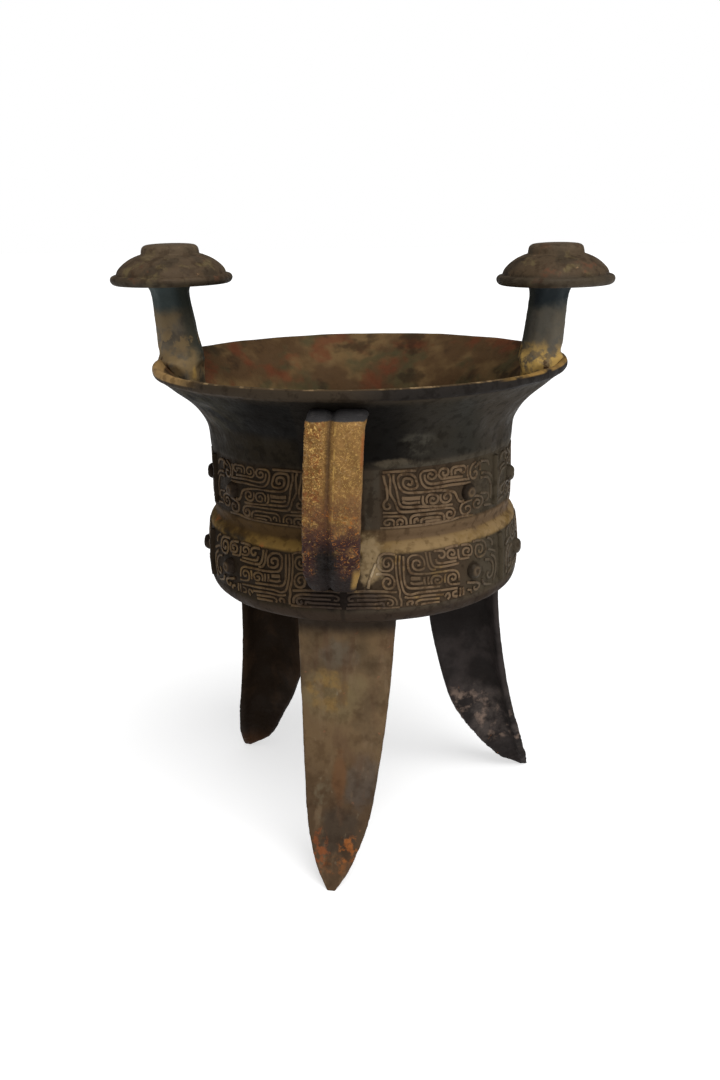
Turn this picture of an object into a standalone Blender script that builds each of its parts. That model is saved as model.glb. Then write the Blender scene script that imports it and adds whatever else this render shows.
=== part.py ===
"""Bronze jia: a three-legged wine warmer with a flared mouth, two capped posts and a strap handle.

The whole vessel is one casting, so it is one closed hollow solid.
Lengths are in metres. +Z is up, the foot tips stand at height 0, and the handle faces -Y.
"""

import math

import bmesh
import bpy
import numpy as np

# Height stack, from the foot tips to the rim
BASE_HEIGHT = 0.1184
BULGE_RISE = 0.0165
SHOULDER_RISE = 0.0316
WAIST_RISE = 0.0388
NECK_RISE = 0.0328
FLARE_RISE = 0.0348
BULGE_HEIGHT = BASE_HEIGHT + BULGE_RISE
SHOULDER_HEIGHT = BASE_HEIGHT + SHOULDER_RISE
WAIST_HEIGHT = BASE_HEIGHT + WAIST_RISE
FLARE_START = WAIST_HEIGHT + NECK_RISE
RIM_HEIGHT = FLARE_START + FLARE_RISE

# Radii of the turned body
NECK_RADIUS = 0.0705
FLARE_REACH = 0.0245
WAIST_INSET = 0.0014
BULGE_OUTSET = 0.0036
SHOULDER_OUTSET = 0.0023
BASE_INSET = 0.0058
RIM_RADIUS = NECK_RADIUS + FLARE_REACH
WAIST_RADIUS = NECK_RADIUS - WAIST_INSET
BULGE_RADIUS = NECK_RADIUS + BULGE_OUTSET
SHOULDER_RADIUS = NECK_RADIUS + SHOULDER_OUTSET
BASE_RADIUS = NECK_RADIUS - BASE_INSET
FLARE_POWER = 2.2

# Wall, lip and base
WALL = 0.0036
LIP_DEPTH = 0.0045
LIP_WIDTH = 0.0060
LIP_UNDERCUT = 0.0020
BASE_SAG = 0.0030
FLOOR_THICKNESS = 0.0040
BODY_SIDES = 54

# Legs: a curved outer plate with a rib behind it
LEG_COUNT = 3
LEG_INSET = 0.0007
LEG_SPLAY = 0.0265
LEG_BOW = 1.9
LEG_ROOT = 0.0010
LEG_TWIST_TOP = math.radians(-0.8)
LEG_TWIST_TIP = math.radians(-4.3)
LEG_TOP_RADIUS = BASE_RADIUS - LEG_INSET
PLATE_WIDTH = 0.0440
PLATE_THICKNESS = 0.0046
PLATE_EDGE = 0.0030
RIB_DEPTH = 0.0310
RIB_THICKNESS = 0.0056
TIP_FLAT = 0.0036
# Share of leg height, then share of plate width and of rib depth reached there
LEG_SHAPE = (
    (0.030, 0.200, 0.250),
    (0.070, 0.330, 0.430),
    (0.120, 0.440, 0.540),
    (0.200, 0.590, 0.610),
    (0.350, 0.727, 0.790),
    (0.600, 0.864, 0.940),
    (0.800, 0.940, 0.975),
    (1.000, 1.000, 1.000),
)

# Posts and caps
POST_WIDTH = 0.0178
POST_DEPTH = 0.0150
POST_CHAMFER = 0.0050
POST_INSET = 0.0122
POST_LEAN = 0.0052
POST_RISES = (0.0342, 0.0320)
POST_BURY = 0.0045
SPUR_DROP = 0.0180
SPUR_TIP = 0.0022
POST_FOOT_RADIUS = RIM_RADIUS - POST_INSET
POST_HEAD_RADIUS = POST_FOOT_RADIUS + POST_LEAN
CAP_RADIUS = 0.0269
CAP_EDGE = 0.0042
CAP_STEP = 0.0023
CAP_HEIGHT = 0.0180
KNOB_RADIUS = 0.0134
KNOB_HEIGHT = 0.0046
CAP_SIDES = 20

# Strap handle
STRAP_WIDTH = 0.0238
STRAP_THICKNESS = 0.0048
STRAP_GROOVE = 0.0016
STRAP_STANDOFF = 0.0265
STRAP_DROP = 0.0118
STRAP_FOOT_RISE = 0.0031
STRAP_LEAN_TOP = 0.0014
STRAP_LEAN_FOOT = -0.0034
STRAP_REACH = NECK_RADIUS + STRAP_STANDOFF
STRAP_TOP = RIM_HEIGHT - STRAP_DROP
STRAP_FOOT = BULGE_HEIGHT + STRAP_FOOT_RISE
# Share of the reach beyond the wall, then share of the height from foot to top
STRAP_PATH = (
    (0.42, 1.000),
    (0.80, 1.006),
    (0.96, 0.975),
    (1.00, 0.900),
    (0.99, 0.720),
    (0.96, 0.520),
    (0.90, 0.330),
    (0.78, 0.180),
    (0.50, 0.070),
)

# Ornament
BAND_MARGIN = 0.0043
BAND_HEIGHT = 0.0257
LOWER_BAND_RISE = 0.0086
UPPER_BAND = (WAIST_HEIGHT + BAND_MARGIN, WAIST_HEIGHT + BAND_MARGIN + BAND_HEIGHT)
LOWER_BAND = (BASE_HEIGHT + LOWER_BAND_RISE, SHOULDER_HEIGHT + 0.06 * SHOULDER_RISE)
MASK_OFFSETS = (math.radians(64), math.radians(180), math.radians(-64))
MASK_HALF_ARCS = (math.radians(51.5), math.radians(57), math.radians(51.5))
STROKE_WIDTH = 0.0030
STROKE_RISE = 0.0008
STROKE_ROOT = 0.0009
STROKE_STEP = 0.0140
EYE_OFFSET = math.radians(16.5)
EYE_RADIUS = 0.0037
EYE_RISE = 0.0024
EYE_SIDES = 9
NOSE_WIDTH = 0.0040
NOSE_RISE = 0.0016
NOSE_MARGIN = 0.0020


def clear_scene():
    for found in list(bpy.data.objects):
        bpy.data.objects.remove(found, do_unlink=True)


def at(radius, azimuth, height):
    """A point by radius, azimuth from the handle side towards +X, and height."""
    return (radius * math.sin(azimuth), -radius * math.cos(azimuth), height)


def mesh_object(name, points, faces, helper=True):
    mesh = bpy.data.meshes.new(name)
    mesh.from_pydata([tuple(p) for p in points], [], faces)
    shape = bmesh.new()
    shape.from_mesh(mesh)
    bmesh.ops.recalc_face_normals(shape, faces=shape.faces)
    if shape.calc_volume(signed=True) < 0:
        bmesh.ops.reverse_faces(shape, faces=shape.faces)
    shape.to_mesh(mesh)
    shape.free()
    made = bpy.data.objects.new(name, mesh)
    bpy.context.collection.objects.link(made)
    if helper:
        made.hide_render = True
        made.display_type = "WIRE"
    return made


def loft(rings):
    """Points and faces of a closed shape through rings of equal length."""
    count = len(rings[0])
    points = [point for ring in rings for point in ring]
    faces = [tuple(range(count))[::-1]]
    for level in range(len(rings) - 1):
        for side in range(count):
            after = (side + 1) % count
            low = level * count
            high = low + count
            faces.append((low + side, low + after, high + after, high + side))
    last = (len(rings) - 1) * count
    faces.append(tuple(range(last, last + count)))
    return points, faces


def lathe(profile, sides, centre=(0.0, 0.0)):
    """Points and faces turned from a profile whose first and last points lie on the axis."""
    rings = profile[1:-1]
    points = [(centre[0], centre[1], profile[0][1])]
    for radius, height in rings:
        for side in range(sides):
            x, y, z = at(radius, 2 * math.pi * side / sides, height)
            points.append((centre[0] + x, centre[1] + y, z))
    points.append((centre[0], centre[1], profile[-1][1]))
    end = len(points) - 1
    last = 1 + (len(rings) - 1) * sides
    faces = []
    for side in range(sides):
        after = (side + 1) % sides
        faces.append((0, 1 + side, 1 + after))
        faces.append((end, last + after, last + side))
        for level in range(len(rings) - 1):
            low = 1 + level * sides
            high = low + sides
            faces.append((low + side, high + side, high + after, low + after))
    return points, faces


def flare_profile():
    """Neck to lip, from the top down."""
    top = RIM_HEIGHT - LIP_DEPTH
    spread = RIM_RADIUS - LIP_UNDERCUT - NECK_RADIUS
    rows = []
    for share in (1.0, 0.84, 0.67, 0.48, 0.26, 0.0):
        height = FLARE_START + share * (top - FLARE_START)
        rows.append((NECK_RADIUS + spread * share**FLARE_POWER, height))
    return rows


def outer_profile():
    """The outside of the wall from under the lip down to the edge of the base."""
    waist_drop = 0.39 * (WAIST_HEIGHT - SHOULDER_HEIGHT)
    tuck = BULGE_RADIUS - BASE_RADIUS
    rows = flare_profile()
    rows.append((NECK_RADIUS - 0.12 * (NECK_RADIUS - WAIST_RADIUS), UPPER_BAND[0]))
    rows.append((WAIST_RADIUS, WAIST_HEIGHT))
    swell = 0.45 * WAIST_RADIUS + 0.55 * SHOULDER_RADIUS
    rows.append((swell, WAIST_HEIGHT - waist_drop))
    rows.append((SHOULDER_RADIUS, SHOULDER_HEIGHT))
    swell = 0.4 * SHOULDER_RADIUS + 0.6 * BULGE_RADIUS
    rows.append((swell, 0.5 * (SHOULDER_HEIGHT + BULGE_HEIGHT)))
    rows.append((BULGE_RADIUS, BULGE_HEIGHT))
    rows.append((BULGE_RADIUS - 0.14 * tuck, BASE_HEIGHT + 0.60 * BULGE_RISE))
    rows.append((BULGE_RADIUS - 0.40 * tuck, BASE_HEIGHT + 0.25 * BULGE_RISE))
    rows.append((BASE_RADIUS, BASE_HEIGHT))
    return rows


OUTSIDE = outer_profile()


def wall_radius(height):
    radii = [row[0] for row in OUTSIDE][::-1]
    heights = [row[1] for row in OUTSIDE][::-1]
    return float(np.interp(height, heights, radii))


def inner_profile():
    """The inside of the wall from the mouth down, one wall behind the outside."""
    rows = []
    line = np.array(OUTSIDE[:-2])
    for index in range(len(line)):
        ahead = line[min(index + 1, len(line) - 1)]
        behind = line[max(index - 1, 0)]
        along = (ahead - behind) / np.linalg.norm(ahead - behind)
        rows.append(tuple(line[index] + WALL * np.array((along[1], -along[0]))))
    return rows


def wall_core(height):
    """Radius halfway through the wall at a height."""
    rows = inner_profile()[::-1]
    inside = np.interp(height, [row[1] for row in rows], [row[0] for row in rows])
    return 0.5 * (wall_radius(height) + float(inside))


def body():
    """Lip, wall, base and hollow inside as one turned shell."""
    lip = 0.25 * LIP_DEPTH
    floor = BASE_HEIGHT - BASE_SAG + FLOOR_THICKNESS
    inside = inner_profile()
    profile = [(0.0, floor)]
    profile.append((0.62 * BASE_RADIUS, floor + 0.3 * BASE_SAG))
    profile.append((BASE_RADIUS - 0.4 * WALL, floor + 1.1 * BASE_SAG))
    profile.extend(inside[::-2])
    profile.append((RIM_RADIUS - LIP_WIDTH, RIM_HEIGHT - lip))
    profile.append((RIM_RADIUS - 0.7 * LIP_WIDTH, RIM_HEIGHT))
    profile.append((RIM_RADIUS - 0.15 * LIP_WIDTH, RIM_HEIGHT))
    profile.append((RIM_RADIUS, RIM_HEIGHT - lip))
    profile.append((RIM_RADIUS, RIM_HEIGHT - 3 * lip))
    profile.extend(OUTSIDE)
    profile.append((0.90 * BASE_RADIUS, BASE_HEIGHT - 0.25 * BASE_SAG))
    profile.append((0.50 * BASE_RADIUS, BASE_HEIGHT - 0.80 * BASE_SAG))
    profile.append((0.0, BASE_HEIGHT - BASE_SAG))
    return lathe(profile, BODY_SIDES)


def leg_section(width, depth, turn, radius, height):
    """A curved plate with a rib behind it, around one station of the leg."""
    half = width / 2
    edge = min(PLATE_EDGE, 0.45 * depth)
    plate = min(PLATE_THICKNESS, 0.75 * depth)
    rib = min(RIB_THICKNESS, 0.7 * width) / 2

    def bow(across):
        return across * across / (2 * LEG_TOP_RADIUS)

    outline = (
        (-half, bow(half)),
        (-0.5 * half, bow(0.5 * half)),
        (0.0, 0.0),
        (0.5 * half, bow(0.5 * half)),
        (half, bow(half)),
        (half, bow(half) + edge),
        (max(0.5 * half, rib), bow(0.5 * half) + 0.5 * (plate + edge)),
        (rib, plate + 0.2 * (depth - plate)),
        (0.75 * rib, depth),
        (-0.75 * rib, depth),
        (-rib, plate + 0.2 * (depth - plate)),
        (-max(0.5 * half, rib), bow(0.5 * half) + 0.5 * (plate + edge)),
        (-half, bow(half) + edge),
    )
    ring = []
    for across, inward in outline:
        x = (radius - inward) * math.sin(turn) + across * math.cos(turn)
        y = -(radius - inward) * math.cos(turn) + across * math.sin(turn)
        ring.append((x, y, height))
    return ring


def leg(azimuth):
    rise = BASE_HEIGHT + LEG_ROOT
    stations = [(0.0, TIP_FLAT / PLATE_WIDTH, TIP_FLAT / RIB_DEPTH)]
    stations.extend(LEG_SHAPE)
    rings = []
    for share, width, depth in stations:
        radius = LEG_TOP_RADIUS + LEG_SPLAY * (1 - share) ** LEG_BOW
        turn = azimuth + LEG_TWIST_TIP + share * (LEG_TWIST_TOP - LEG_TWIST_TIP)
        rings.append(leg_section(width * PLATE_WIDTH, depth * RIB_DEPTH, turn, radius, share * rise))
    return loft(rings)


def post_section(radius, width, depth, chamfer, azimuth, height):
    out = width / 2
    side = depth / 2
    outline = (
        (out, side - chamfer),
        (out - chamfer, side),
        (chamfer - out, side),
        (-out, side - chamfer),
        (-out, chamfer - side),
        (chamfer - out, -side),
        (out - chamfer, -side),
        (out, chamfer - side),
    )
    ring = []
    for outward, across in outline:
        x, y, z = at(radius + outward, azimuth, height)
        ring.append((x + across * math.cos(azimuth), y + across * math.sin(azimuth), z))
    return ring


def post(azimuth, head):
    """Spur down the inside of the mouth, shaft on the lip, and flare under the cap."""
    inner = POST_FOOT_RADIUS - POST_WIDTH / 2
    run = head - RIM_HEIGHT
    rows = []
    for share in (1.0, 0.75, 0.5, 0.25):
        height = RIM_HEIGHT - share * SPUR_DROP
        outer = wall_core(height)
        width = max(outer - inner, SPUR_TIP)
        chamfer = min(POST_CHAMFER, 0.35 * width)
        rows.append((outer - width / 2, width, (1.1 - 0.25 * share) * POST_DEPTH, chamfer, height))
    rows.append((POST_FOOT_RADIUS, POST_WIDTH, 1.15 * POST_DEPTH, POST_CHAMFER, RIM_HEIGHT))
    bury = 1 + POST_BURY / run
    for share, swell in ((0.10, 1.0), (0.45, 0.97), (0.80, 1.0), (0.93, 1.12), (bury, 1.55)):
        radius = POST_FOOT_RADIUS + share * POST_LEAN
        row = (radius, swell * POST_WIDTH, swell * POST_DEPTH, swell * POST_CHAMFER)
        rows.append(row + (RIM_HEIGHT + share * run,))
    return loft([post_section(r, w, d, c, azimuth, h) for r, w, d, c, h in rows])


def cap(azimuth, base):
    """Low umbrella cap with a rolled edge, a step, a domed cone and a flat knob."""
    x, y, _ = at(POST_HEAD_RADIUS, azimuth, 0.0)
    neck = base + CAP_HEIGHT - KNOB_HEIGHT
    cone = neck - base - CAP_EDGE
    step = CAP_RADIUS - CAP_STEP
    run = step - KNOB_RADIUS
    profile = [
        (0.0, base + 0.7 * CAP_EDGE),
        (0.80 * CAP_RADIUS, base + 0.35 * CAP_EDGE),
        (CAP_RADIUS - CAP_STEP, base),
        (CAP_RADIUS - 0.2 * CAP_STEP, base + 0.25 * CAP_EDGE),
        (CAP_RADIUS, base + 0.60 * CAP_EDGE),
        (CAP_RADIUS - 0.5 * CAP_STEP, base + CAP_EDGE),
        (step, base + 1.1 * CAP_EDGE),
        (step - 0.30 * run, base + CAP_EDGE + 0.44 * cone),
        (step - 0.68 * run, base + CAP_EDGE + 0.78 * cone),
        (1.03 * KNOB_RADIUS, neck),
        (KNOB_RADIUS, neck + 0.70 * KNOB_HEIGHT),
        (0.88 * KNOB_RADIUS, neck + 0.88 * KNOB_HEIGHT),
        (0.0, base + CAP_HEIGHT),
    ]
    return lathe(profile, CAP_SIDES, (x, y))


def strap():
    """Handle strap bent from under the lip to the bulge, with a valley down its face."""
    half = STRAP_WIDTH / 2
    outline = (
        (-half, 0.15 * STRAP_THICKNESS),
        (-0.80 * half, 0.45 * STRAP_THICKNESS),
        (-0.45 * half, 0.50 * STRAP_THICKNESS),
        (-0.10 * half, 0.50 * STRAP_THICKNESS - STRAP_GROOVE),
        (0.05 * half, 0.50 * STRAP_THICKNESS - STRAP_GROOVE),
        (0.45 * half, 0.50 * STRAP_THICKNESS),
        (0.80 * half, 0.45 * STRAP_THICKNESS),
        (half, 0.15 * STRAP_THICKNESS),
        (half, -0.40 * STRAP_THICKNESS),
        (0.0, -0.50 * STRAP_THICKNESS),
        (-half, -0.40 * STRAP_THICKNESS),
    )
    start = wall_radius(STRAP_TOP) - 0.6 * WALL
    end = wall_radius(STRAP_FOOT) - 0.5 * WALL
    rise = STRAP_TOP - STRAP_FOOT
    path = [(start, STRAP_TOP - 0.02 * rise)]
    for reach, share in STRAP_PATH:
        base = start if share > 0.5 else end
        path.append((base + reach * (STRAP_REACH - base), STRAP_FOOT + share * rise))
    path.append((end, STRAP_FOOT))
    path = np.array(path)
    rings = []
    for index, (radius, height) in enumerate(path):
        before = path[max(index - 1, 0)]
        after = path[min(index + 1, len(path) - 1)]
        along = (after - before) / np.linalg.norm(after - before)
        out, up = -along[1], along[0]
        share = (height - STRAP_FOOT) / rise
        lean = STRAP_LEAN_FOOT + share * (STRAP_LEAN_TOP - STRAP_LEAN_FOOT)
        ring = []
        for across, lift in outline:
            ring.append((across + lean, -(radius + lift * out), height + lift * up))
        rings.append(ring)
    return loft(rings)


def stroke(path, azimuth, mirror, width=STROKE_WIDTH, rise=STROKE_RISE):
    """A raised ridge laid on the wall, from a path of arc length and height."""
    line = np.array(path, float)
    steps = [line[0]]
    for here, there in zip(line[:-1], line[1:]):
        pieces = max(1, math.ceil(abs(there[0] - here[0]) / STROKE_STEP))
        for piece in range(1, pieces + 1):
            steps.append(here + (there - here) * piece / pieces)
    line = np.array(steps)
    count = len(line)
    rings = []
    for index in range(count):
        first = line[index] - line[max(index - 1, 0)]
        second = line[min(index + 1, count - 1)] - line[index]
        first = second if index == 0 else first
        second = first if index == count - 1 else second
        first = first / np.linalg.norm(first)
        second = second / np.linalg.norm(second)
        normal = np.array((-first[1] - second[1], first[0] + second[0]))
        normal = normal / (1 + max(first @ second, -0.3))
        ring = []
        for side, lift in ((-0.5, -STROKE_ROOT), (0.5, -STROKE_ROOT), (0.0, rise)):
            arc, height = line[index] + side * width * normal
            radius = wall_radius(height)
            ring.append(at(radius + lift, azimuth + mirror * arc / radius, height))
        rings.append(ring)
    return loft(rings)


def coil(arc, height, wide, tall, turns, start=0, hand=1):
    """Squared spiral, wound inwards from one corner of its box."""
    corners = ((-1, -1), (1, -1), (1, 1), (-1, 1))
    path = []
    for step in range(turns + 1):
        shrink = max(0.12, 1 - 0.20 * max(step - 1, 0))
        x, y = corners[(start + hand * step) % 4]
        path.append((arc + x * shrink * wide / 2, height + y * shrink * tall / 2))
    return path


def half_mask(band, azimuth, half_arc, mirror, full):
    """The main lines on one side of a mask: border, coil and tail, then the small hooks."""
    low, high = band
    tall = high - low
    wide = half_arc * wall_radius(0.5 * (low + high))
    eye = EYE_OFFSET * wall_radius(0.5 * (low + high))
    row = tall / 12
    edge = wide - 2.2 * row
    lines = [
        [(wide, high - row), (wide, low + row), (0.30 * wide, low + row)],
        [(edge, high - row), (edge, low + 3.2 * row), (0.42 * wide, low + 3.2 * row)],
        coil(wide - 6.6 * row, high - 3.4 * row, 5.6 * row, 4.8 * row, 6, 0, 1),
        [
            (wide - 10.5 * row, high - 3.6 * row),
            (eye + 1.0 * row, high - 3.6 * row),
            (eye - 2.0 * row, high - 4.6 * row),
        ],
        [(wide - 5.0 * row, low + 5.4 * row), (eye + 5.6 * row, low + 5.4 * row)],
    ]
    if full:
        for place in (12.8, 17.2):
            lines.append(coil(wide - place * row, high - 1.6 * row, 2.6 * row, 1.8 * row, 3, 3, -1))
    return [stroke(line, azimuth, mirror) for line in lines]


def eye_boss(band, azimuth):
    """Round eye standing out of the wall on its own sloping side."""
    height = 0.55 * band[0] + 0.45 * band[1]
    base = wall_radius(height)
    rings = []
    for share, lift in ((1.0, -STROKE_ROOT), (1.0, 0.25 * EYE_RISE), (0.62, 0.85 * EYE_RISE)):
        ring = []
        for side in range(EYE_SIDES):
            turn = 2 * math.pi * side / EYE_SIDES
            across = share * EYE_RADIUS * math.cos(turn)
            up = share * EYE_RADIUS * math.sin(turn)
            x, y, z = at(base + lift, azimuth, height + up)
            ring.append((x + across * math.cos(azimuth), y + across * math.sin(azimuth), z))
        rings.append(ring)
    return loft(rings)


def gather(shapes):
    """Several closed shapes in one list of points and faces."""
    points = []
    faces = []
    for shape_points, shape_faces in shapes:
        start = len(points)
        points.extend(shape_points)
        faces.extend(tuple(start + corner for corner in face) for face in shape_faces)
    return points, faces


def ornament():
    lines = []
    bosses = []
    for band in (UPPER_BAND, LOWER_BAND):
        low, high = band
        for azimuth, half_arc in zip(MASK_OFFSETS, MASK_HALF_ARCS):
            nose = [(0.0, low + NOSE_MARGIN), (0.0, high - NOSE_MARGIN)]
            lines.append(stroke(nose, azimuth, 1, NOSE_WIDTH, NOSE_RISE))
            for mirror in (-1, 1):
                facing = azimuth != MASK_OFFSETS[1]
                lines.extend(half_mask(band, azimuth, half_arc, mirror, facing))
                bosses.append(eye_boss(band, azimuth + mirror * EYE_OFFSET))
    return gather(lines), gather(bosses)


def bronze():
    material = bpy.data.materials.new("bronze")
    material.use_nodes = True
    shader = material.node_tree.nodes["Principled BSDF"]
    shader.inputs["Base Color"].default_value = (0.085, 0.062, 0.040, 1.0)
    shader.inputs["Roughness"].default_value = 0.55
    shader.inputs["Metallic"].default_value = 0.85
    return material


def main():
    clear_scene()
    middle = bpy.data.objects.new("middle", None)
    middle.location.y = (STRAP_REACH + STRAP_THICKNESS / 2 - RIM_RADIUS) / 2
    bpy.context.collection.objects.link(middle)
    jia = mesh_object("jia", *body(), helper=False)
    jia.parent = middle
    legs = gather([leg(2 * math.pi * turn / LEG_COUNT) for turn in range(LEG_COUNT)])
    heads = []
    for side, rise in zip((-1, 1), POST_RISES):
        heads.append((side * math.pi / 2, RIM_HEIGHT + rise))
    posts = gather([post(azimuth, head) for azimuth, head in heads])
    caps = gather([cap(azimuth, head) for azimuth, head in heads])
    lines, bosses = ornament()
    for name, shape in (
        ("legs", legs),
        ("posts", posts),
        ("caps", caps),
        ("strap", strap()),
        ("lines", lines),
        ("bosses", bosses),
    ):
        joined = jia.modifiers.new(name, "BOOLEAN")
        joined.operation = "UNION"
        joined.solver = "EXACT"
        joined.object = mesh_object(name, *shape)
        joined.object.parent = middle
    jia.data.materials.append(bronze())


main()
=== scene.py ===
"""Looks of a bronze jia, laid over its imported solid.

Lengths are in metres, +Z is up and the handle faces -Y.
"""

import math

import bmesh
import bpy
import numpy as np
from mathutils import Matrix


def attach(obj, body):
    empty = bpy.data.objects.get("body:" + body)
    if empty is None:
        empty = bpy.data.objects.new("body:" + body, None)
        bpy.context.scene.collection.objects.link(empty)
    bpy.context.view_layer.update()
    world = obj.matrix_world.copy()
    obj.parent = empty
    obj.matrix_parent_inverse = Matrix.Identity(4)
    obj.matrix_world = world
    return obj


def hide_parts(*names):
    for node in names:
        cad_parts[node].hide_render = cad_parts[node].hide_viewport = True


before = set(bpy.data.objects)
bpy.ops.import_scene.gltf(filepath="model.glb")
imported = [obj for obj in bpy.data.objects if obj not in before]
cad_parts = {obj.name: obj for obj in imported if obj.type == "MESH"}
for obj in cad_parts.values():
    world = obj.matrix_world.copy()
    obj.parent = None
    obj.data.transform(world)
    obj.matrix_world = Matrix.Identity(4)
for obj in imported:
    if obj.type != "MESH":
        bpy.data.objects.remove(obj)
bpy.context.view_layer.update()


# The body is the cast wall: a deep bowl with two tiers, a flared mouth and a thick lip, open at the
# top. It is bronze, poured in one go with all the pieces that follow, so their roots are sunk in it.

axis_y = 0.0022
rim_height = 0.2248
wall = 0.0036
upper_band = (0.1615, 0.1872)
lower_band = (0.1270, 0.1519)

outside_rows = np.array([
    (0.0930, 0.2203), (0.0872, 0.2154), (0.0807, 0.2103), (0.0753, 0.2045), (0.0717, 0.1979),
    (0.0705, 0.1900), (0.0704, 0.1750), (0.0703, 0.1615), (0.0699, 0.1590), (0.0692, 0.1572),
    (0.0697, 0.1556), (0.0714, 0.1540), (0.0726, 0.1519), (0.0731, 0.1495), (0.0737, 0.1440),
    (0.0741, 0.1349), (0.0738, 0.1300), (0.0731, 0.1248), (0.0715, 0.1218), (0.0688, 0.1198),
    (0.0647, 0.1184),
])


def eased(rows, count):
    """A smooth line of evenly spaced points through rows of numbers."""
    rows = np.asarray(rows, float)
    steps = np.linalg.norm(np.diff(rows, axis=0), axis=1) ** 0.5
    knots = np.concatenate(([0.0], np.cumsum(steps)))
    slopes = np.gradient(rows, knots, axis=0)
    where = np.linspace(0.0, knots[-1], 12 * count)
    index = np.clip(np.searchsorted(knots, where, side="right") - 1, 0, len(knots) - 2)
    span = (knots[index + 1] - knots[index])[:, None]
    t = (where[:, None] - knots[index][:, None]) / span
    fine = (2 * t**3 - 3 * t**2 + 1) * rows[index] + (t**3 - 2 * t**2 + t) * span * slopes[index]
    fine += (3 * t**2 - 2 * t**3) * rows[index + 1] + (t**3 - t**2) * span * slopes[index + 1]
    run = np.concatenate(([0.0], np.cumsum(np.linalg.norm(np.diff(fine, axis=0), axis=1))))
    even = np.linspace(0.0, run[-1], count)
    return np.column_stack([np.interp(even, run, column) for column in fine.T])


outside_line = eased(outside_rows, 150)


def wall_radius(height):
    return np.interp(height, outside_line[::-1, 1], outside_line[::-1, 0])


def at(radius, azimuth, height):
    """A point by radius, azimuth from the handle side towards +X, and height."""
    x = radius * np.sin(azimuth)
    y = axis_y - radius * np.cos(azimuth)
    return np.stack(np.broadcast_arrays(x, y, height), axis=-1)


def node(tree, kind, settings=None, **inputs):
    """Adds one node; an input takes a value, an output or a node, by its first output."""
    made = tree.nodes.new(kind)
    for key, value in (settings or {}).items():
        setattr(made, key, value)
    for key, value in inputs.items():
        socket = made.inputs[int(key[1:])] if key[1:].isdigit() else made.inputs[key.replace("_", " ")]
        if isinstance(value, bpy.types.Node):
            value = value.outputs[0]
        if isinstance(value, bpy.types.NodeSocket):
            tree.links.new(value, socket)
        else:
            socket.default_value = value
    return made


def finished(piece):
    """Smooths a piece and hands it to the frame."""
    piece.data.polygons.foreach_set("use_smooth", [True] * len(piece.data.polygons))
    piece.data.update()
    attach(piece, "root")
    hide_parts("jia")
    return piece


def grown(name, guide, tree, material, **inputs):
    """Runs a node tree on a guide mesh and keeps the result as a plain piece."""
    bpy.context.collection.objects.link(guide)
    growth = guide.modifiers.new("growth", "NODES")
    growth.node_group = tree
    sockets = {item.name: item.identifier for item in tree.interface.items_tree}
    for key, value in inputs.items():
        growth[sockets[key.replace("_", " ")]] = value
    growth[sockets["Material"]] = material
    graph = bpy.context.evaluated_depsgraph_get()
    mesh = bpy.data.meshes.new_from_object(guide.evaluated_get(graph))
    guide.modifiers.remove(growth)
    bpy.data.objects.remove(guide)
    shape = bmesh.new()
    shape.from_mesh(mesh)
    bmesh.ops.remove_doubles(shape, verts=shape.verts, dist=1e-7)
    bmesh.ops.recalc_face_normals(shape, faces=shape.faces)
    if shape.calc_volume(signed=True) < 0:
        bmesh.ops.reverse_faces(shape, faces=shape.faces)
    shape.to_mesh(mesh)
    shape.free()
    mesh.name = name
    piece = bpy.data.objects.new(name, mesh)
    bpy.context.collection.objects.link(piece)
    return piece


def start_tree(name, sockets):
    """A geometry tree with a guide, its named sizes and a material."""
    tree = bpy.data.node_groups.new(name, "GeometryNodeTree")
    tree.interface.new_socket("Guide", in_out="INPUT", socket_type="NodeSocketGeometry")
    for socket, kind in sockets:
        tree.interface.new_socket(socket, in_out="INPUT", socket_type="NodeSocket" + kind)
    tree.interface.new_socket("Material", in_out="INPUT", socket_type="NodeSocketMaterial")
    tree.interface.new_socket("Shape", in_out="OUTPUT", socket_type="NodeSocketGeometry")
    return tree, node(tree, "NodeGroupInput")


def end_tree(tree, given, shape):
    """Uneven casting skin, then real faces and a material."""
    place = node(tree, "GeometryNodeInputPosition")
    wave = node(tree, "ShaderNodeTexNoise", {"normalize": False}, Vector=place,
                Scale=given.outputs["Wave Scale"], Detail=2.0, Roughness=0.55)
    lift = node(tree, "ShaderNodeMath", {"operation": "MULTIPLY"}, _0=wave.outputs["Fac"],
                _1=given.outputs["Unevenness"])
    normal = node(tree, "GeometryNodeInputNormal")
    push = node(tree, "ShaderNodeVectorMath", {"operation": "SCALE"}, _0=normal, Scale=lift)
    moved = node(tree, "GeometryNodeSetPosition", Geometry=shape, Offset=push)
    real = node(tree, "GeometryNodeRealizeInstances", Geometry=moved)
    coated = node(tree, "GeometryNodeSetMaterial", Geometry=real, Material=given.outputs["Material"])
    node(tree, "NodeGroupOutput", Shape=coated)


skin_sizes = (("Wave Scale", "Float"), ("Unevenness", "Float"))

# A profile is drawn off from a small circle and carried round by it.
turning_radius = 0.01
turning, given = start_tree("turned on its axis", (("Sides", "Int"), ("Centre", "Vector")) + skin_sizes)
outline = node(turning, "GeometryNodeMeshToCurve", Mesh=given.outputs["Guide"])
circle = node(
    turning, "GeometryNodeCurvePrimitiveCircle", Resolution=given.outputs["Sides"], Radius=turning_radius)
turned = node(turning, "GeometryNodeCurveToMesh", Curve=circle, Profile_Curve=outline)
poles = node(turning, "GeometryNodeMergeByDistance", Geometry=turned, Distance=2e-5)
placed = node(turning, "GeometryNodeTransform", Geometry=poles, Translation=given.outputs["Centre"])
end_tree(turning, given, placed)


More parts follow.
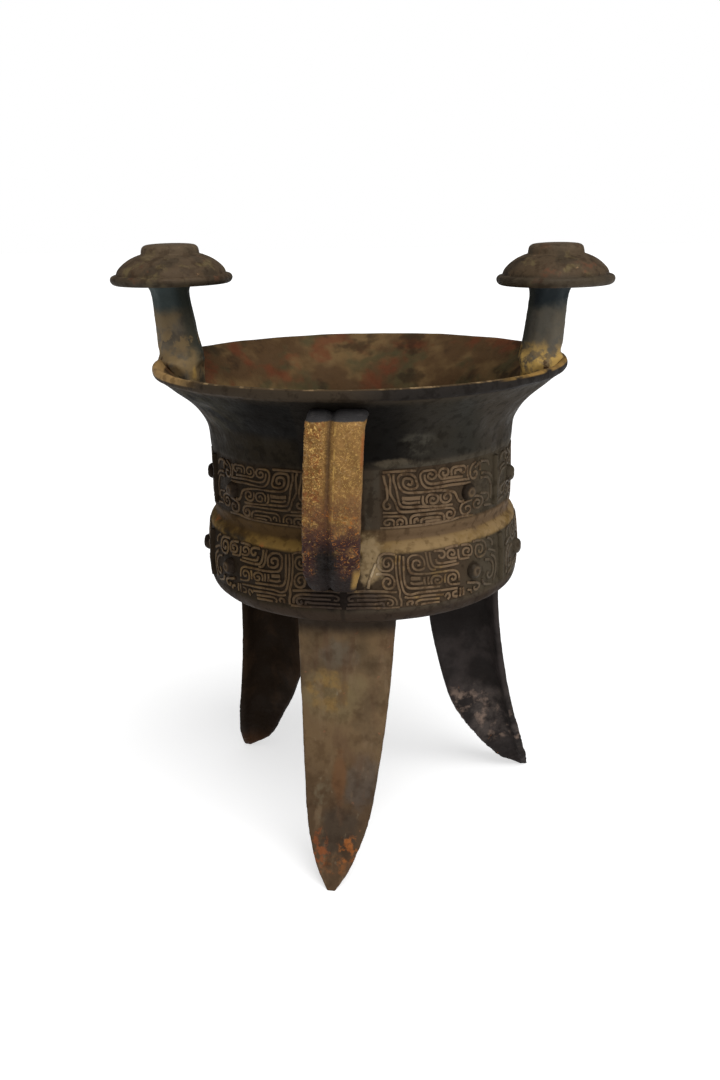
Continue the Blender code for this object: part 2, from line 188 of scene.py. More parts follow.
def edge_guide(name, lines):
    """A mesh of bare edges along one or more lines of points."""
    points = np.concatenate(lines)
    edges = []
    start = 0
    for line in lines:
        edges.extend((start + k, start + k + 1) for k in range(len(line) - 1))
        start += len(line)
    mesh = bpy.data.meshes.new(name)
    mesh.from_pydata(points.tolist(), edges, [])
    return bpy.data.objects.new(name, mesh)


def profile_guide(name, radii, heights):
    """A profile as bare edges, laid as the turning circle takes it."""
    return edge_guide(name, [np.column_stack((radii - turning_radius, -heights, 0 * radii))])


def mark(guide, name, values):
    """Keeps a number, or a direction, for each point of a guide."""
    kind, key = ("FLOAT", "value") if values.ndim == 1 else ("FLOAT_VECTOR", "vector")
    guide.data.attributes.new(name, kind, "POINT").data.foreach_set(key, values.ravel())


class Patina:
    """Old bronze as a ground colour with layers laid over it, each where its mask says."""

    def __init__(self, name, ground, metallic=0.35, specular=0.35):
        self.material = bpy.data.materials.new(name)
        self.material.use_nodes = True
        self.tree = self.material.node_tree
        self.shader = self.tree.nodes["Principled BSDF"]
        self.shader.inputs["Metallic"].default_value = metallic
        self.shader.inputs["Specular IOR Level"].default_value = specular
        self.place = node(self.tree, "ShaderNodeTexCoord").outputs["Object"]
        split = node(self.tree, "ShaderNodeSeparateXYZ", Vector=self.place)
        self.x, self.y, self.z = split.outputs
        self.colour = (*ground, 1.0)

    def ramp(self, value, low, high):
        """0 at low and 1 at high, eased between."""
        return node(self.tree, "ShaderNodeMapRange", {"interpolation_type": "SMOOTHSTEP"},
                    Value=value, From_Min=low, From_Max=high).outputs[0]

    def sum(self, *values):
        total = values[0]
        for value in values[1:]:
            total = node(self.tree, "ShaderNodeMath", _0=total, _1=value).outputs[0]
        return total

    def times(self, *values):
        total = values[0]
        for value in values[1:]:
            total = node(self.tree, "ShaderNodeMath", {"operation": "MULTIPLY"},
                         _0=total, _1=value).outputs[0]
        return total

    def noise(self, size, detail=4.0, rough=0.6, shift=(0, 0, 0), stretch=(1, 1, 1), curl=0.0):
        """Cloudy noise whose blotches are about this size."""
        where = node(self.tree, "ShaderNodeMapping", Vector=self.place, Location=shift, Scale=stretch)
        return node(self.tree, "ShaderNodeTexNoise", Vector=where, Scale=0.5 / size,
                    Detail=detail, Roughness=rough, Distortion=curl).outputs["Fac"]

    def blotch(self, size, low, high, **how):
        return self.ramp(self.noise(size, **how), low, high)

    def between(self, value, low, high, soft):
        rise = self.ramp(value, low - soft, low + soft)
        fall = self.ramp(value, high + soft, high - soft)
        return self.times(rise, fall)

    def patch(self, centre, size, ragged=0.9, grain=0.004):
        """A ragged patch by its centre and half sizes."""
        off = node(self.tree, "ShaderNodeVectorMath", {"operation": "SUBTRACT"}, _0=self.place, _1=centre)
        share = node(self.tree, "ShaderNodeVectorMath", {"operation": "DIVIDE"}, _0=off, _1=size)
        reach = node(self.tree, "ShaderNodeVectorMath", {"operation": "LENGTH"}, _0=share)
        torn = self.times(self.noise(grain, detail=5.0), ragged * 2)
        return self.ramp(self.sum(reach.outputs["Value"], torn), 1.25 + ragged, 0.65 + ragged)

    def lay(self, colour, *masks, blend="MIX"):
        """Lays a colour over the coat where all the masks meet."""
        mixed = node(self.tree, "ShaderNodeMix", {"data_type": "RGBA", "blend_type": blend},
                     Factor=self.times(*masks))
        for index, value in ((6, self.colour), (7, (*colour, 1.0))):
            if isinstance(value, bpy.types.NodeSocket):
                self.tree.links.new(value, mixed.inputs[index])
            else:
                mixed.inputs[index].default_value = value
        self.colour = mixed.outputs[2]

    def finish(self, depth=0.0004, sheen=(0.006, -0.4, 1.0), grains=(0.004, 0.0009, 0.6)):
        """Adds uneven roughness and two sizes of grain, then gives the material."""
        rough = self.ramp(self.noise(sheen[0]), sheen[1], sheen[2])
        relief = self.sum(self.noise(grains[0]), self.times(self.noise(grains[1]), grains[2]))
        self.tree.links.new(self.colour, self.shader.inputs["Base Color"])
        self.tree.links.new(rough, self.shader.inputs["Roughness"])
        bump = node(self.tree, "ShaderNodeBump", Strength=0.8, Distance=depth, Height=relief)
        self.tree.links.new(bump.outputs[0], self.shader.inputs["Normal"])
        return self.material


coat = Patina("old_bronze_body", (0.02, 0.014, 0.008), metallic=0.03, specular=0.04)
inner = node(coat.tree, "ShaderNodeAttribute", {"attribute_name": "inner"}).outputs["Fac"]
# The right side is laid lighter: partly the bronze's own patina, partly painted light on the side the lamps
# light.
right_patina_and_light = coat.ramp(coat.x, -0.04, 0.04)
coat.lay((0.052, 0.04, 0.028), right_patina_and_light)
coat.lay((0.05, 0.034, 0.016), coat.blotch(0.012, 0.48, 0.66), 0.45)

# The neck is nearly black beside the handle, partly its own dark patina and partly painted shade under the
# lip; it is greenish at its left edge and brushed grey on the right.
neck = coat.between(coat.z, 0.1885, 0.2192, 0.0035)
coat.lay((0.005, 0.0046, 0.0042), neck, coat.ramp(coat.x, 0.06, 0.02), 0.95)
coat.lay((0.022, 0.021, 0.017), neck, coat.ramp(coat.x, 0.016, 0.06))
coat.lay((0.023, 0.02, 0.012), neck, coat.ramp(coat.x, -0.034, -0.064), coat.blotch(0.007, 0.4, 0.58))
coat.lay(
    (0.042, 0.029, 0.016), neck, coat.ramp(coat.x, -0.045, -0.07),
    coat.blotch(0.009, 0.5, 0.62, shift=(3, 3, 3)))
coat.lay((0.0145, 0.0108, 0.0064), neck, coat.ramp(coat.x, -0.012, -0.022), coat.ramp(coat.z, 0.203, 0.197))
coat.lay((0.038, 0.031, 0.023), neck, coat.ramp(coat.x, 0.05, 0.062))
coat.lay(
    (0.062, 0.056, 0.043), coat.patch((0.032, -0.066, 0.1975), (0.0085, 0.03, 0.006)),
    coat.blotch(0.004, 0.4, 0.66))
coat.lay((0.085, 0.068, 0.046), coat.patch((0.021, -0.07, 0.1898), (0.009, 0.03, 0.002)), 0.75)
coat.lay(
    (0.06, 0.05, 0.036), coat.between(coat.z, 0.1868, 0.1895, 0.001), coat.ramp(coat.x, 0.012, 0.028), 0.8)
shadowed = coat.between(coat.x, -0.018, 0.009, 0.0008)
coat.lay(
    (0.01, 0.008, 0.006), shadowed, coat.ramp(coat.z, 0.158, 0.166), coat.ramp(coat.y, 0.0, -0.03), 0.9)

# The frieze grounds are painted darkest, a painted shade in the grooves between the lines. The shoulder
# between them is olive gold with a painted highlight along its ledge; a pale patch lies beside the handle's
# foot, a painted shadow of the handle below it, and a dark run of dirt goes down from there.
for low, high in (upper_band, lower_band):
    field = coat.between(coat.z, low, high, 0.0003)
    # Painted shade: the ground between the raised lines is laid darkest.
    coat.lay((0.018, 0.012, 0.007), field)
    # The frieze ground is lighter on the right as well, partly its own patina and partly painted light.
    coat.lay((0.046, 0.031, 0.019), field, right_patina_and_light)
    coat.lay(
        (0.052, 0.041, 0.029), field, coat.between(coat.x, 0.0092, 0.0156, 0.0007),
        coat.ramp(coat.z, 0.156, 0.16),
        coat.sum(0.45, coat.times(coat.blotch(0.0035, 0.4, 0.6, stretch=(1, 1, 0.5)), 0.55)))
    coat.lay((0.05, 0.039, 0.025), field, coat.ramp(coat.x, 0.046, 0.06), coat.ramp(coat.y, 0.0, -0.01))
waist = coat.between(coat.z, 0.1535, 0.1612, 0.001)
coat.lay((0.05, 0.028, 0.01), waist)
coat.lay((0.11, 0.07, 0.038), waist, coat.ramp(coat.x, -0.005, 0.03))
ledge = coat.between(coat.z, 0.1512, 0.1556, 0.0009)
# Painted highlight: olive-yellow and tan streaks along the ledge at the top of the lower tier, lit from
# above; the orange specks on its left are the bronze's own.
coat.lay((0.15, 0.088, 0.024), ledge, coat.blotch(0.009, 0.36, 0.58), 0.9)
coat.lay((0.215, 0.142, 0.066), ledge, coat.ramp(coat.x, 0.005, 0.03), coat.blotch(0.008, 0.34, 0.56))
coat.lay((0.23, 0.075, 0.022), ledge, coat.ramp(coat.x, -0.02, -0.035), coat.blotch(0.004, 0.6, 0.68))
coat.lay(
    (0.225, 0.158, 0.082), coat.patch((0.0115, -0.072, 0.1485), (0.0048, 0.03, 0.0115), grain=0.003),
    coat.blotch(0.0018, 0.22, 0.44))
# Painted shadow of the handle: the wall below its foot is laid nearly black.
coat.lay((0.01, 0.007, 0.006), coat.patch((-0.0035, -0.072, 0.135), (0.0125, 0.03, 0.009)), 0.9)
under_edge = coat.ramp(coat.z, 0.1268, 0.124)
coat.lay((0.03, 0.02, 0.0135), under_edge)
seam = coat.times(
    coat.between(coat.x, -0.0016, 0.0002, 0.0005), coat.ramp(coat.z, 0.138, 0.134),
    coat.ramp(coat.y, 0.0, -0.03))
coat.lay((0.01, 0.007, 0.005), seam, 0.5)

# Inside, red copper bloom, green and dark brown lie in small clouds on a red brown ground.
coat.lay((0.066, 0.037, 0.017), inner)
coat.lay((0.135, 0.084, 0.036), inner, coat.blotch(0.013, 0.42, 0.62, detail=3.0), 0.8)
coat.lay((0.1, 0.027, 0.012), inner, coat.blotch(0.01, 0.5, 0.66, detail=3.0, shift=(4, 4, 1)), 0.65)
coat.lay((0.044, 0.042, 0.02), inner, coat.blotch(0.011, 0.52, 0.66, detail=3.0, shift=(1, 7, 3)), 0.65)
coat.lay((0.024, 0.014, 0.008), inner, coat.blotch(0.008, 0.54, 0.68, detail=3.0, shift=(8, 2, 3)), 0.7)
outer_lip = coat.times(coat.ramp(coat.z, 0.2192, 0.22), coat.ramp(inner, 0.9, 0.1))
coat.lay((0.036, 0.026, 0.017), outer_lip)
coat.lay((0.018, 0.015, 0.013), outer_lip, coat.ramp(coat.x, 0.0, 0.03))
# A painted highlight lies along the top of the lip on the near side, in broken bits.
lit_lip_top = coat.ramp(coat.z, 0.2242, 0.2247)
coat.lay((0.07, 0.046, 0.024), lit_lip_top, coat.ramp(coat.y, 0.03, -0.01))
coat.lay((0.24, 0.16, 0.08), lit_lip_top, coat.ramp(coat.y, 0.02, -0.02), coat.blotch(0.004, 0.5, 0.62))
near_side = coat.ramp(coat.y, 0.022, 0.006)
by_left_post = coat.times(coat.ramp(coat.x, -0.056, -0.074), coat.ramp(coat.z, 0.2219, 0.2227), near_side)
coat.lay((0.27, 0.165, 0.066), by_left_post, coat.blotch(0.006, 0.22, 0.4))
by_right_post = coat.times(coat.ramp(coat.x, 0.062, 0.076), coat.ramp(coat.z, 0.2234, 0.2241), near_side)
coat.lay((0.23, 0.135, 0.04), by_right_post, coat.blotch(0.005, 0.36, 0.56))
coat.lay(
    (0.66, 0.64, 0.62), coat.blotch(0.0022, 0.5, 0.62, shift=(6, 6, 6)), coat.ramp(inner, 1.4, 0.2),
    blend="MULTIPLY")
body_bronze = coat.finish(depth=0.0006)

behind = np.gradient(outside_line, axis=0)
behind /= np.linalg.norm(behind, axis=1)[:, None]
inside_line = outside_line + wall * np.column_stack((behind[:, 1], -behind[:, 0]))
inside_line = inside_line[inside_line[:, 1] > 0.1255]
lip_rows = [
    tuple(inside_line[2]), (0.0905, 0.2229), (0.0914, 0.2238), (0.0924, 0.2245), (0.0935, 0.2248),
    (0.0944, 0.2244), (0.0949, 0.2235), (0.095, 0.2222), (0.0946, 0.2209), (0.0932, 0.2201),
    (0.0915, 0.2189)]
floor_rows = [(0.0, 0.1194), (0.03, 0.1198), (0.05, 0.121), (0.062, 0.1228), tuple(inside_line[-4])]
under_rows = [(0.0647, 0.1184), (0.0560, 0.1176), (0.0330, 0.1160), (0.0000, 0.1154)]
profile = np.concatenate([
    eased(floor_rows, 30),
    inside_line[2:-4][::-1],
    eased(lip_rows, 30),
    outside_line[5:-1],
    eased(under_rows, 20),
])
profile[:, 0] = np.maximum(profile[:, 0], 0.0)
body_guide = profile_guide("body", profile[:, 0], profile[:, 1])
inner_share = np.zeros(len(profile))
inner_share[:profile[:, 1].argmax()] = 1.0
mark(body_guide, "inner", inner_share)
body = grown(
    "body", body_guide, turning, body_bronze, Sides=240, Centre=(0.0, axis_y, 0.0), Wave_Scale=45.0,
    Unevenness=0.00025)

# The frieze grounds lie a little lower than the wall, and the upper one stops beside the handle.
ground_sunk = 0.00045
handle_gap = math.radians(12.4)


def eased_step(value, low, high):
    share = np.clip((value - low) / (high - low), 0.0, 1.0)
    return share * share * (3 - 2 * share)


skin = np.empty(3 * len(body.data.vertices))
body.data.vertices.foreach_get("co", skin)
skin = skin.reshape(-1, 3)
from_axis = skin[:, :2] - (0.0, axis_y)
reach = np.linalg.norm(from_axis, axis=1)
round_from_handle = np.abs(np.arctan2(from_axis[:, 0], -from_axis[:, 1]))
for (low, high), clear in ((upper_band, handle_gap), (lower_band, -1.0)):
    sunk = eased_step(skin[:, 2], low - 0.0006, low + 0.0002) * eased_step(
        -skin[:, 2], -high - 0.0006, 0.0002 - high)
    sunk *= eased_step(reach, 0.0685, 0.0690) * eased_step(round_from_handle, clear, clear + 0.02)
    skin[:, :2] -= from_axis / np.maximum(reach, 1e-6)[:, None] * (ground_sunk * sunk)[:, None]
body.data.vertices.foreach_set("co", skin.ravel())
finished(body)


# Two friezes run round the body, three masks in each, laid out in raised lines that curl into
# squared spirals. They were cut into the clay model, so line and wall are one casting.

mask_seats = (math.radians(64), math.radians(180), math.radians(-64))
mask_spans = (1.0, 1.11, 1.0)
mask_half = math.radians(51.2)
line_proud = 0.00012
line_foot = 0.00172
line_top = 0.00098
line_rise = 0.0010
line_sunk = 0.0005
# The lines are drawn for a frieze this tall, and get a point at each step.
drawn_tall = 0.0257
point_step = 0.00058

# Each line lists its points, in millimetres: how far in from the mask's outer edge, then how high above
# the frieze's lower edge, and so on. The same lines are mirrored to the other side of the nose.
upper_lines = (
    (0, 0.5, 9, 0.5, 20, 0.4, 33, 0.6, 38.5, 1, 46, 0.4),
    (1.4, 24.5, 6, 24.6, 11, 24.6, 15.8, 24.4),
    (1.6, 23.6, 2.1, 20.6, 2.9, 17.6, 3.2, 14.8, 2.9, 12.9, 1.7, 11.7, 1.5, 9.9, 2.5, 8.7, 4, 9, 4.3, 10.3,
     3.2, 11),
    (3.6, 23.9, 4.4, 22, 4.4, 19, 4.4, 15.6, 5.4, 13.4, 6.6, 11.3, 7.1, 9.4, 8.4, 7.4, 11, 6.9, 17, 6.8,
     24, 6.6, 30.5, 6.3, 33.5, 5.6, 34.8, 3.9, 34.1, 2.1, 32.3, 1.5, 30.8, 2, 30.4, 3.5, 31.5, 4.5, 33, 3.9,
     32.8, 2.9),
    (5.9, 23.7, 5.9, 21, 6.5, 18.8, 7.1, 16.6, 7.6, 13.6, 8.1, 11.2, 9.3, 9.4, 11.5, 8.9, 17, 8.6, 22, 8.1,
     28, 7.6, 33.5, 7.4),
    (39.8, 8, 38.3, 7.8, 36.8, 8.7, 35.8, 10.5, 34.8, 12.3, 32.8, 13.3, 30, 14, 25, 14.6, 20, 14.7,
     15, 14.9, 11.3, 15.3, 9.2, 16.5, 8.2, 18.4, 7.8, 21, 8.4, 22.8, 10, 23.2, 13, 23, 15, 21.9, 15.9, 19.8,
     16.4, 17.6, 15.3, 16.7, 12.4, 16.8, 10.6, 17.8, 9.9, 19.6, 10.4, 21.1, 12.2, 21.4, 13.8, 20.5, 14, 19,
     13, 18.4, 11.9, 19.1),
    (43.8, 15.3, 38, 15.7, 33, 16.1, 27, 16, 22.3, 16, 20.2, 16.7, 18.7, 18.2, 17.9, 20.2, 17.7, 22.3,
     18.7, 23.6, 21.5, 23.8, 24.3, 23.5, 25.3, 22, 24.8, 20.5, 23, 20, 21.4, 20.7, 21.3, 22, 22.6, 22.5,
     23.5, 21.6),
    (42, 17.2, 38, 17.5, 33, 17.9, 27, 17.8, 22.7, 17.9, 20.9, 18.7, 19.8, 20.4, 19.7, 22.2),
    (39, 18.9, 35, 19.2, 31, 19.4, 28, 19.5, 26.7, 20.6, 26.5, 22.3, 27.7, 23.6, 30, 23.6, 31.3, 22.5,
     31, 21, 29.4, 20.6, 28.3, 21.4, 28.8, 22.3),
    (33, 20.2, 32.9, 22.3, 33.8, 23.5, 37, 23.5, 40, 23.3, 41, 22.2, 40.6, 20.8, 38.4, 20.3),
    (35, 20.4, 34.9, 21.9, 36.9, 22.2, 38.6, 21.8, 37.4, 21),
    (42.2, 23.2, 42.1, 20.6, 42.2, 18.6, 43, 16.8),
    (47.2, 23.9, 44.9, 22.7, 43.7, 20.6, 43.8, 18.4, 45.2, 16.9, 47.2, 17.1, 48.2, 18.6, 47.2, 19.8,
     45.8, 19.3),
    (46.6, 21.6, 48.4, 22.2, 49.9, 23.2, 50.4, 21.6, 50.2, 19.6),
    (50.6, 23.5, 53.8, 23.3, 56, 22.6, 57.2, 20.6),
    (9.4, 13.3, 12, 12.9, 17.6, 12.7),
    (9.4, 12.6, 12, 12.3, 17.4, 12.1),
    (9.6, 11.5, 11.4, 10.7, 17.4, 10.5),
    (18.9, 13.2, 18.7, 11.2, 19.1, 9.6, 20.2, 8.6),
    (20.7, 9.7, 20.5, 11.9, 21.6, 13.1, 24.4, 13, 26, 11.9, 25.8, 10, 24.2, 9.2, 22.6, 9.6, 22.2, 11,
     23.2, 11.8, 24.3, 11),
    (27.3, 12.8, 27.3, 10.6, 28.5, 9.1, 30.9, 8.8, 32.6, 10, 32.4, 11.9, 30.7, 12.8, 29.2, 12, 29.3, 10.6,
     30.7, 10.5),
    (1.2, 7.2, 4, 7, 7.4, 6.8),
    (1.3, 5.6, 5, 5.4, 9.3, 5.1, 10.9, 4, 11.4, 1.4),
    (5.8, 1.3, 5.9, 3.2, 4.6, 4.1, 2.5, 3.9, 1.6, 2.7, 2.4, 1.7, 3.9, 1.9, 3.9, 2.9),
    (7.4, 1.4, 7.2, 3, 8.3, 3.8, 9.6, 3.2, 9.6, 2, 8.6, 1.7),
    (13.2, 1.4, 13.3, 3.9, 14.6, 4.9, 20, 4.9, 26, 4.7, 28.3, 3.9, 29.1, 2.6, 29.2, 1.3),
    (14.9, 1.6, 14.9, 2.9, 16, 3.5, 16.6, 2.3),
    (17.9, 1.3, 18, 2.5, 19.3, 3.1, 23, 3.1, 27.3, 2.8),
    (19.9, 1.6, 24, 1.7, 27.6, 1.4),
    (44.8, 7.6, 41.5, 7.2, 38.8, 6.4, 37.9, 4.6, 38.7, 2.6, 41, 1.8, 43.5, 2.4, 44, 4.1, 42.5, 5.2,
     40.8, 4.6, 41.2, 3.6),
    (42.8, 8.5, 46, 8.8, 49.5, 8.3, 51.8, 7.2, 52.4, 5.4, 51, 3.5, 48.4, 3, 46.2, 4, 46, 5.8, 47.6, 6.9,
     49.8, 6.2, 49.8, 5, 48.4, 4.8),
    (50.4, 16.2, 53, 16.1, 55.8, 15.5, 57.5, 13.9, 58.8, 11.4, 59, 8.2, 58.7, 5.4),
    (51, 18.2, 54, 18, 57, 17.1, 59.4, 15.2),
    (50.6, 9.4, 53, 8.9, 56.2, 8.4, 57.1, 6.8, 56, 5.2, 54.2, 5.5),
    (53.2, 3.2, 56, 3, 59.6, 2.3),
)
lower_lines = (
    (7.6, 0.3, 3, 0.4, -3, 0.6),
    (5.9, 24.3, 3.9, 25, 0.6, 25, -1.1, 23.6, -1.6, 20.8, -0.7, 18.4, 1.6, 17.5, 4, 18.1, 4.9, 20.3,
     4.3, 22.5, 2.6, 23.3, 1, 22.4, 0.7, 20.5, 1.9, 19.3, 3.1, 20.1, 2.6, 21.3),
    (-2.6, 16.4, 0.6, 16.2, 3.2, 15.7, 4.8, 14.2, 5.3, 11.9, 4.5, 9.9, 2.6, 9.4, 0.9, 10.3, 0.4, 12.5,
     1.4, 14.2, 3, 13.8, 3.5, 12.3, 2.4, 11.4),
    (-3.5, 8.6, 0, 8.4, 3.4, 7.9, 6.2, 7.6),
    (-3.5, 6.5, 0, 6.4, 3.2, 6, 5.2, 4.9, 6.2, 3.2, 6.2, 1.4),
    (-3.5, 4.6, 0.6, 4.6, 3.2, 4.5, 4.6, 3.3, 4.4, 1.9, 3.1, 1.4, 2.1, 2.2, 2.7, 3.1),
    (-3, 2.6, 0.4, 2.7, 0.6, 1.3),
    (6.3, 24.2, 6, 20, 6.2, 16, 6.5, 12.8, 7, 10, 7.6, 7.8, 7.5, 5.4, 8.2, 3.4, 8.2, 0.6),
    (7.9, 24, 7.6, 20, 7.8, 15, 8.2, 12, 8.7, 9.5, 9.7, 7.1, 11.8, 5.9, 16, 6.3, 20, 6.2, 25, 5.9, 31, 5.5,
     35, 5.2),
    (9.5, 23.6, 9.4, 19, 9.4, 15, 9.7, 12, 10.3, 10.2, 11.6, 9, 15, 8.5, 19, 8.3, 26, 7.8),
    (36, 8.6, 35.9, 10.8, 35.2, 12.6, 33.4, 13.8, 30, 14.2, 25, 14.4, 20, 14.5, 15, 15, 12.7, 15.7,
     11.7, 17.2, 11.4, 19.5, 11.6, 22.2, 13.2, 23.4, 16.4, 23.1, 18.2, 21.6, 18.9, 19.2, 18.4, 17.1,
     16.2, 16.7, 14.2, 17.4, 13.3, 19.2, 13.8, 20.8, 15.4, 21.1, 16.8, 20.2, 16.7, 18.9, 15.4, 18.8),
    (19.5, 24.3, 20, 21.8, 20.3, 19.2, 20.9, 17.4, 22, 16.1, 24, 15.9),
    (21.4, 24, 21.7, 21, 22.3, 18.7, 23.4, 17.2, 25.6, 16.7, 30, 16.5, 36, 16.6),
    (24.2, 20.6, 24.7, 18.9, 26.4, 18.3, 30, 18.1, 34.6, 18),
    (23.4, 24, 26.2, 24, 28.4, 23.3, 28.9, 21.9, 27.9, 20.6, 26.2, 20.9, 26, 22.2),
    (35, 19.4, 32.4, 19.5, 30.6, 20.3, 30.2, 22, 31.4, 23.3, 33.4, 23, 34.1, 21.7, 33.1, 20.8, 31.9, 21.6),
    (29.2, 24.3, 32, 24.7, 36, 24.6),
    (36, 23, 36, 20.4, 36.4, 18.7, 39, 18.1, 42, 18),
    (37.8, 24.4, 41.2, 24.1, 43.5, 23, 44, 20.8, 43.4, 19.2, 41.4, 19.1, 38.9, 19.9, 38.7, 21.8, 40.2, 22.6,
     42.2, 21.9, 42, 20.7, 40.6, 20.8),
    (44.8, 24.6, 49, 24.3, 52, 23.4, 53.2, 21.2, 53.3, 18.7, 51.5, 17.1, 48.6, 16.7, 46.6, 17.7, 46, 20,
     46.9, 22.2, 49.4, 22.4, 50.9, 21, 50.3, 19.1, 48.5, 18.9, 48.2, 20.3),
    (54.8, 18.9, 57.4, 18, 60.6, 16.6),
    (54.4, 24.2, 56.8, 23.4, 58.4, 21.4, 58, 19.9),
    (12.3, 13.6, 16.7, 13.1),
    (12.3, 12.9, 16.7, 12.5),
    (12.2, 11.5, 13.6, 10.7, 18, 10.5),
    (18.6, 13.3, 18.5, 11.4, 18.9, 9.8),
    (20.4, 13.2, 20.3, 11.4, 20.6, 9.6),
    (22, 9.5, 21.8, 11.5, 22.8, 12.8, 25.4, 12.7, 26.9, 11.5, 26.6, 9.8, 24.8, 9.2, 23.6, 10.1, 24, 11.2,
     25.2, 10.9),
    (28.8, 13.1, 28.4, 11.2, 28.5, 9),
    (36.3, 7.1, 33, 7.4, 30.7, 8.1, 30, 10, 30.7, 11.9, 32.9, 12.2, 34.1, 11, 33.7, 9.7, 32.3, 9.6,
     31.9, 10.6),
    (9.6, 5, 11.6, 4.4, 14, 4.2, 19, 4.4, 25, 3.9, 28, 3.5),
    (11, 0.8, 10.9, 2.2, 12.4, 2.9, 13.4, 1.9, 12.6, 1),
    (15.3, 0.4, 14.9, 1.8, 16.4, 2.6, 21, 2.4, 26, 2),
    (17, 0.6, 21, 0.6, 26, 0.3),
    (28.4, 2.3, 30.3, 3.8, 31.2, 2, 30.2, 0.7),
    (34.9, 3.8, 33, 3.4, 33.2, 1.6, 35.2, 1.2),
    (36.7, 5, 37, 2.6, 36.8, 0.8),
    (38.2, 4.8, 38.7, 2.8, 38.8, 0.9),
    (40.6, 6.6, 43, 5.9, 46.4, 5.2, 48.6, 3.6, 47.4, 1.8, 45.2, 2.2, 45.2, 3.6),
    (41, 2.9, 43.2, 2.2, 43.6, 0.8),
    (52, 14.6, 55.5, 13.8, 57.8, 11.6, 58.4, 8.6, 57.4, 5.8, 55.2, 5.2, 53.8, 6.8, 54.8, 8.4),
    (56.6, 16, 59.4, 14, 60.6, 11, 60.4, 7, 59.2, 2.6),
    (50.2, 5.6, 51.6, 3.4, 54.4, 2.2, 57.4, 1.6),
)

# These run on from the front ends of the lower frieze, beneath the handle.
below_handle_lines = (
    (-3, 8.6, -7, 8.8, -11, 8.7, -14.9, 8.3),
    (-3, 6.5, -8, 6.7, -12.6, 6.6, -14.4, 5.6, -13.8, 4.4, -12.2, 4.6),
    (-3, 4.6, -7, 4.8, -10.8, 4.7),
    (-2.8, 2.6, -8, 2.8, -14.8, 2.6),
    (-2.8, 0.7, -9, 0.9, -15.4, 0.7),
)
# A stray run of bronze beside the handle's foot, on the right only.
stray_run = (-2.5, 21.2, -3.8, 17.7, -5.1, 14.2, -6, 10.1)

tracing, given = start_tree("raised line on the wall", (
    ("Foot", "Float"), ("Top", "Float"), ("Rise", "Float"), ("Wear", "Float")) + skin_sizes)
drawn = node(tracing, "GeometryNodeMeshToCurve", Mesh=given.outputs["Guide"])
outward = node(tracing, "GeometryNodeInputNamedAttribute", {"data_type": "FLOAT_VECTOR"}, Name="outward")
facing = node(tracing, "GeometryNodeSetCurveNormal", {"mode": "FREE"}, Curve=drawn, Normal=outward)
section = node(
    tracing, "GeometryNodeCurvePrimitiveQuadrilateral", {"mode": "TRAPEZOID"}, Offset=0.0,
    Bottom_Width=given.outputs["Foot"], Top_Width=given.outputs["Top"], Height=given.outputs["Rise"])
upturned = node(tracing, "GeometryNodeTransform", Geometry=section, Rotation=(0.0, 0.0, -math.pi / 2))
eased_edge = node(
    tracing, "GeometryNodeFilletCurve", {"mode": "POLY"}, Curve=upturned, Count=1, Radius=0.00022,
    Limit_Radius=True)
spread = node(tracing, "GeometryNodeInputPosition")
split = node(tracing, "ShaderNodeSeparateXYZ", Vector=spread)
lifted = node(
    tracing, "ShaderNodeMath", {"operation": "DIVIDE"}, _0=split.outputs["X"], _1=given.outputs["Rise"])
halved = node(tracing, "ShaderNodeMath", {"operation": "ADD"}, _0=lifted, _1=0.5)
# The height across each line is kept as lift; the colour uses it for painted shade at the line's foot and a
# lighter crest.
marked = node(
    tracing, "GeometryNodeStoreNamedAttribute", {"data_type": "FLOAT", "domain": "POINT"},
    Geometry=eased_edge, Name="lift", Value=halved)
worn = node(tracing, "ShaderNodeTexNoise", Vector=spread, Scale=70.0, Detail=2.0)
fading = node(
    tracing, "ShaderNodeMapRange", Value=worn.outputs["Fac"], From_Min=0.3, From_Max=0.62,
    To_Min=given.outputs["Wear"], To_Max=1.08)
swept = node(
    tracing, "GeometryNodeCurveToMesh", Curve=facing, Profile_Curve=marked, Scale=fading, Fill_Caps=True)
end_tree(tracing, given, swept)


def wall_guide(name, paths):
    """Paths on the wall as bare edges, with the way out of the wall kept at each point."""
    guide = edge_guide(name, paths)
    places = np.concatenate(paths) - (0.0, axis_y, 0.0)
    slant = (wall_radius(places[:, 2] + 0.0004) - wall_radius(places[:, 2] - 0.0004)) / 0.0008
    flat = places[:, :2] / np.linalg.norm(places[:, :2], axis=1)[:, None]
    mark(guide, "outward", np.column_stack((flat, -slant)))
    return guide


def traced(line, low, tall, girth, seat, spread, mirror):
    """One line of a frieze as points on the wall."""
    rows = np.array(line).reshape(-1, 2) / 1000
    run = np.linalg.norm(np.diff(rows, axis=0), axis=1).sum()
    rows = eased(rows, max(4, round(run / point_step)))
    turn = (mask_half - rows[:, 0] / girth) * spread
    height = low + rows[:, 1] * tall / drawn_tall
    return at(wall_radius(height) + line_proud - line_sunk, seat + mirror * turn, height)


coat = Patina("old_bronze_relief", (0.016, 0.01, 0.006), metallic=0.05, specular=0.08)
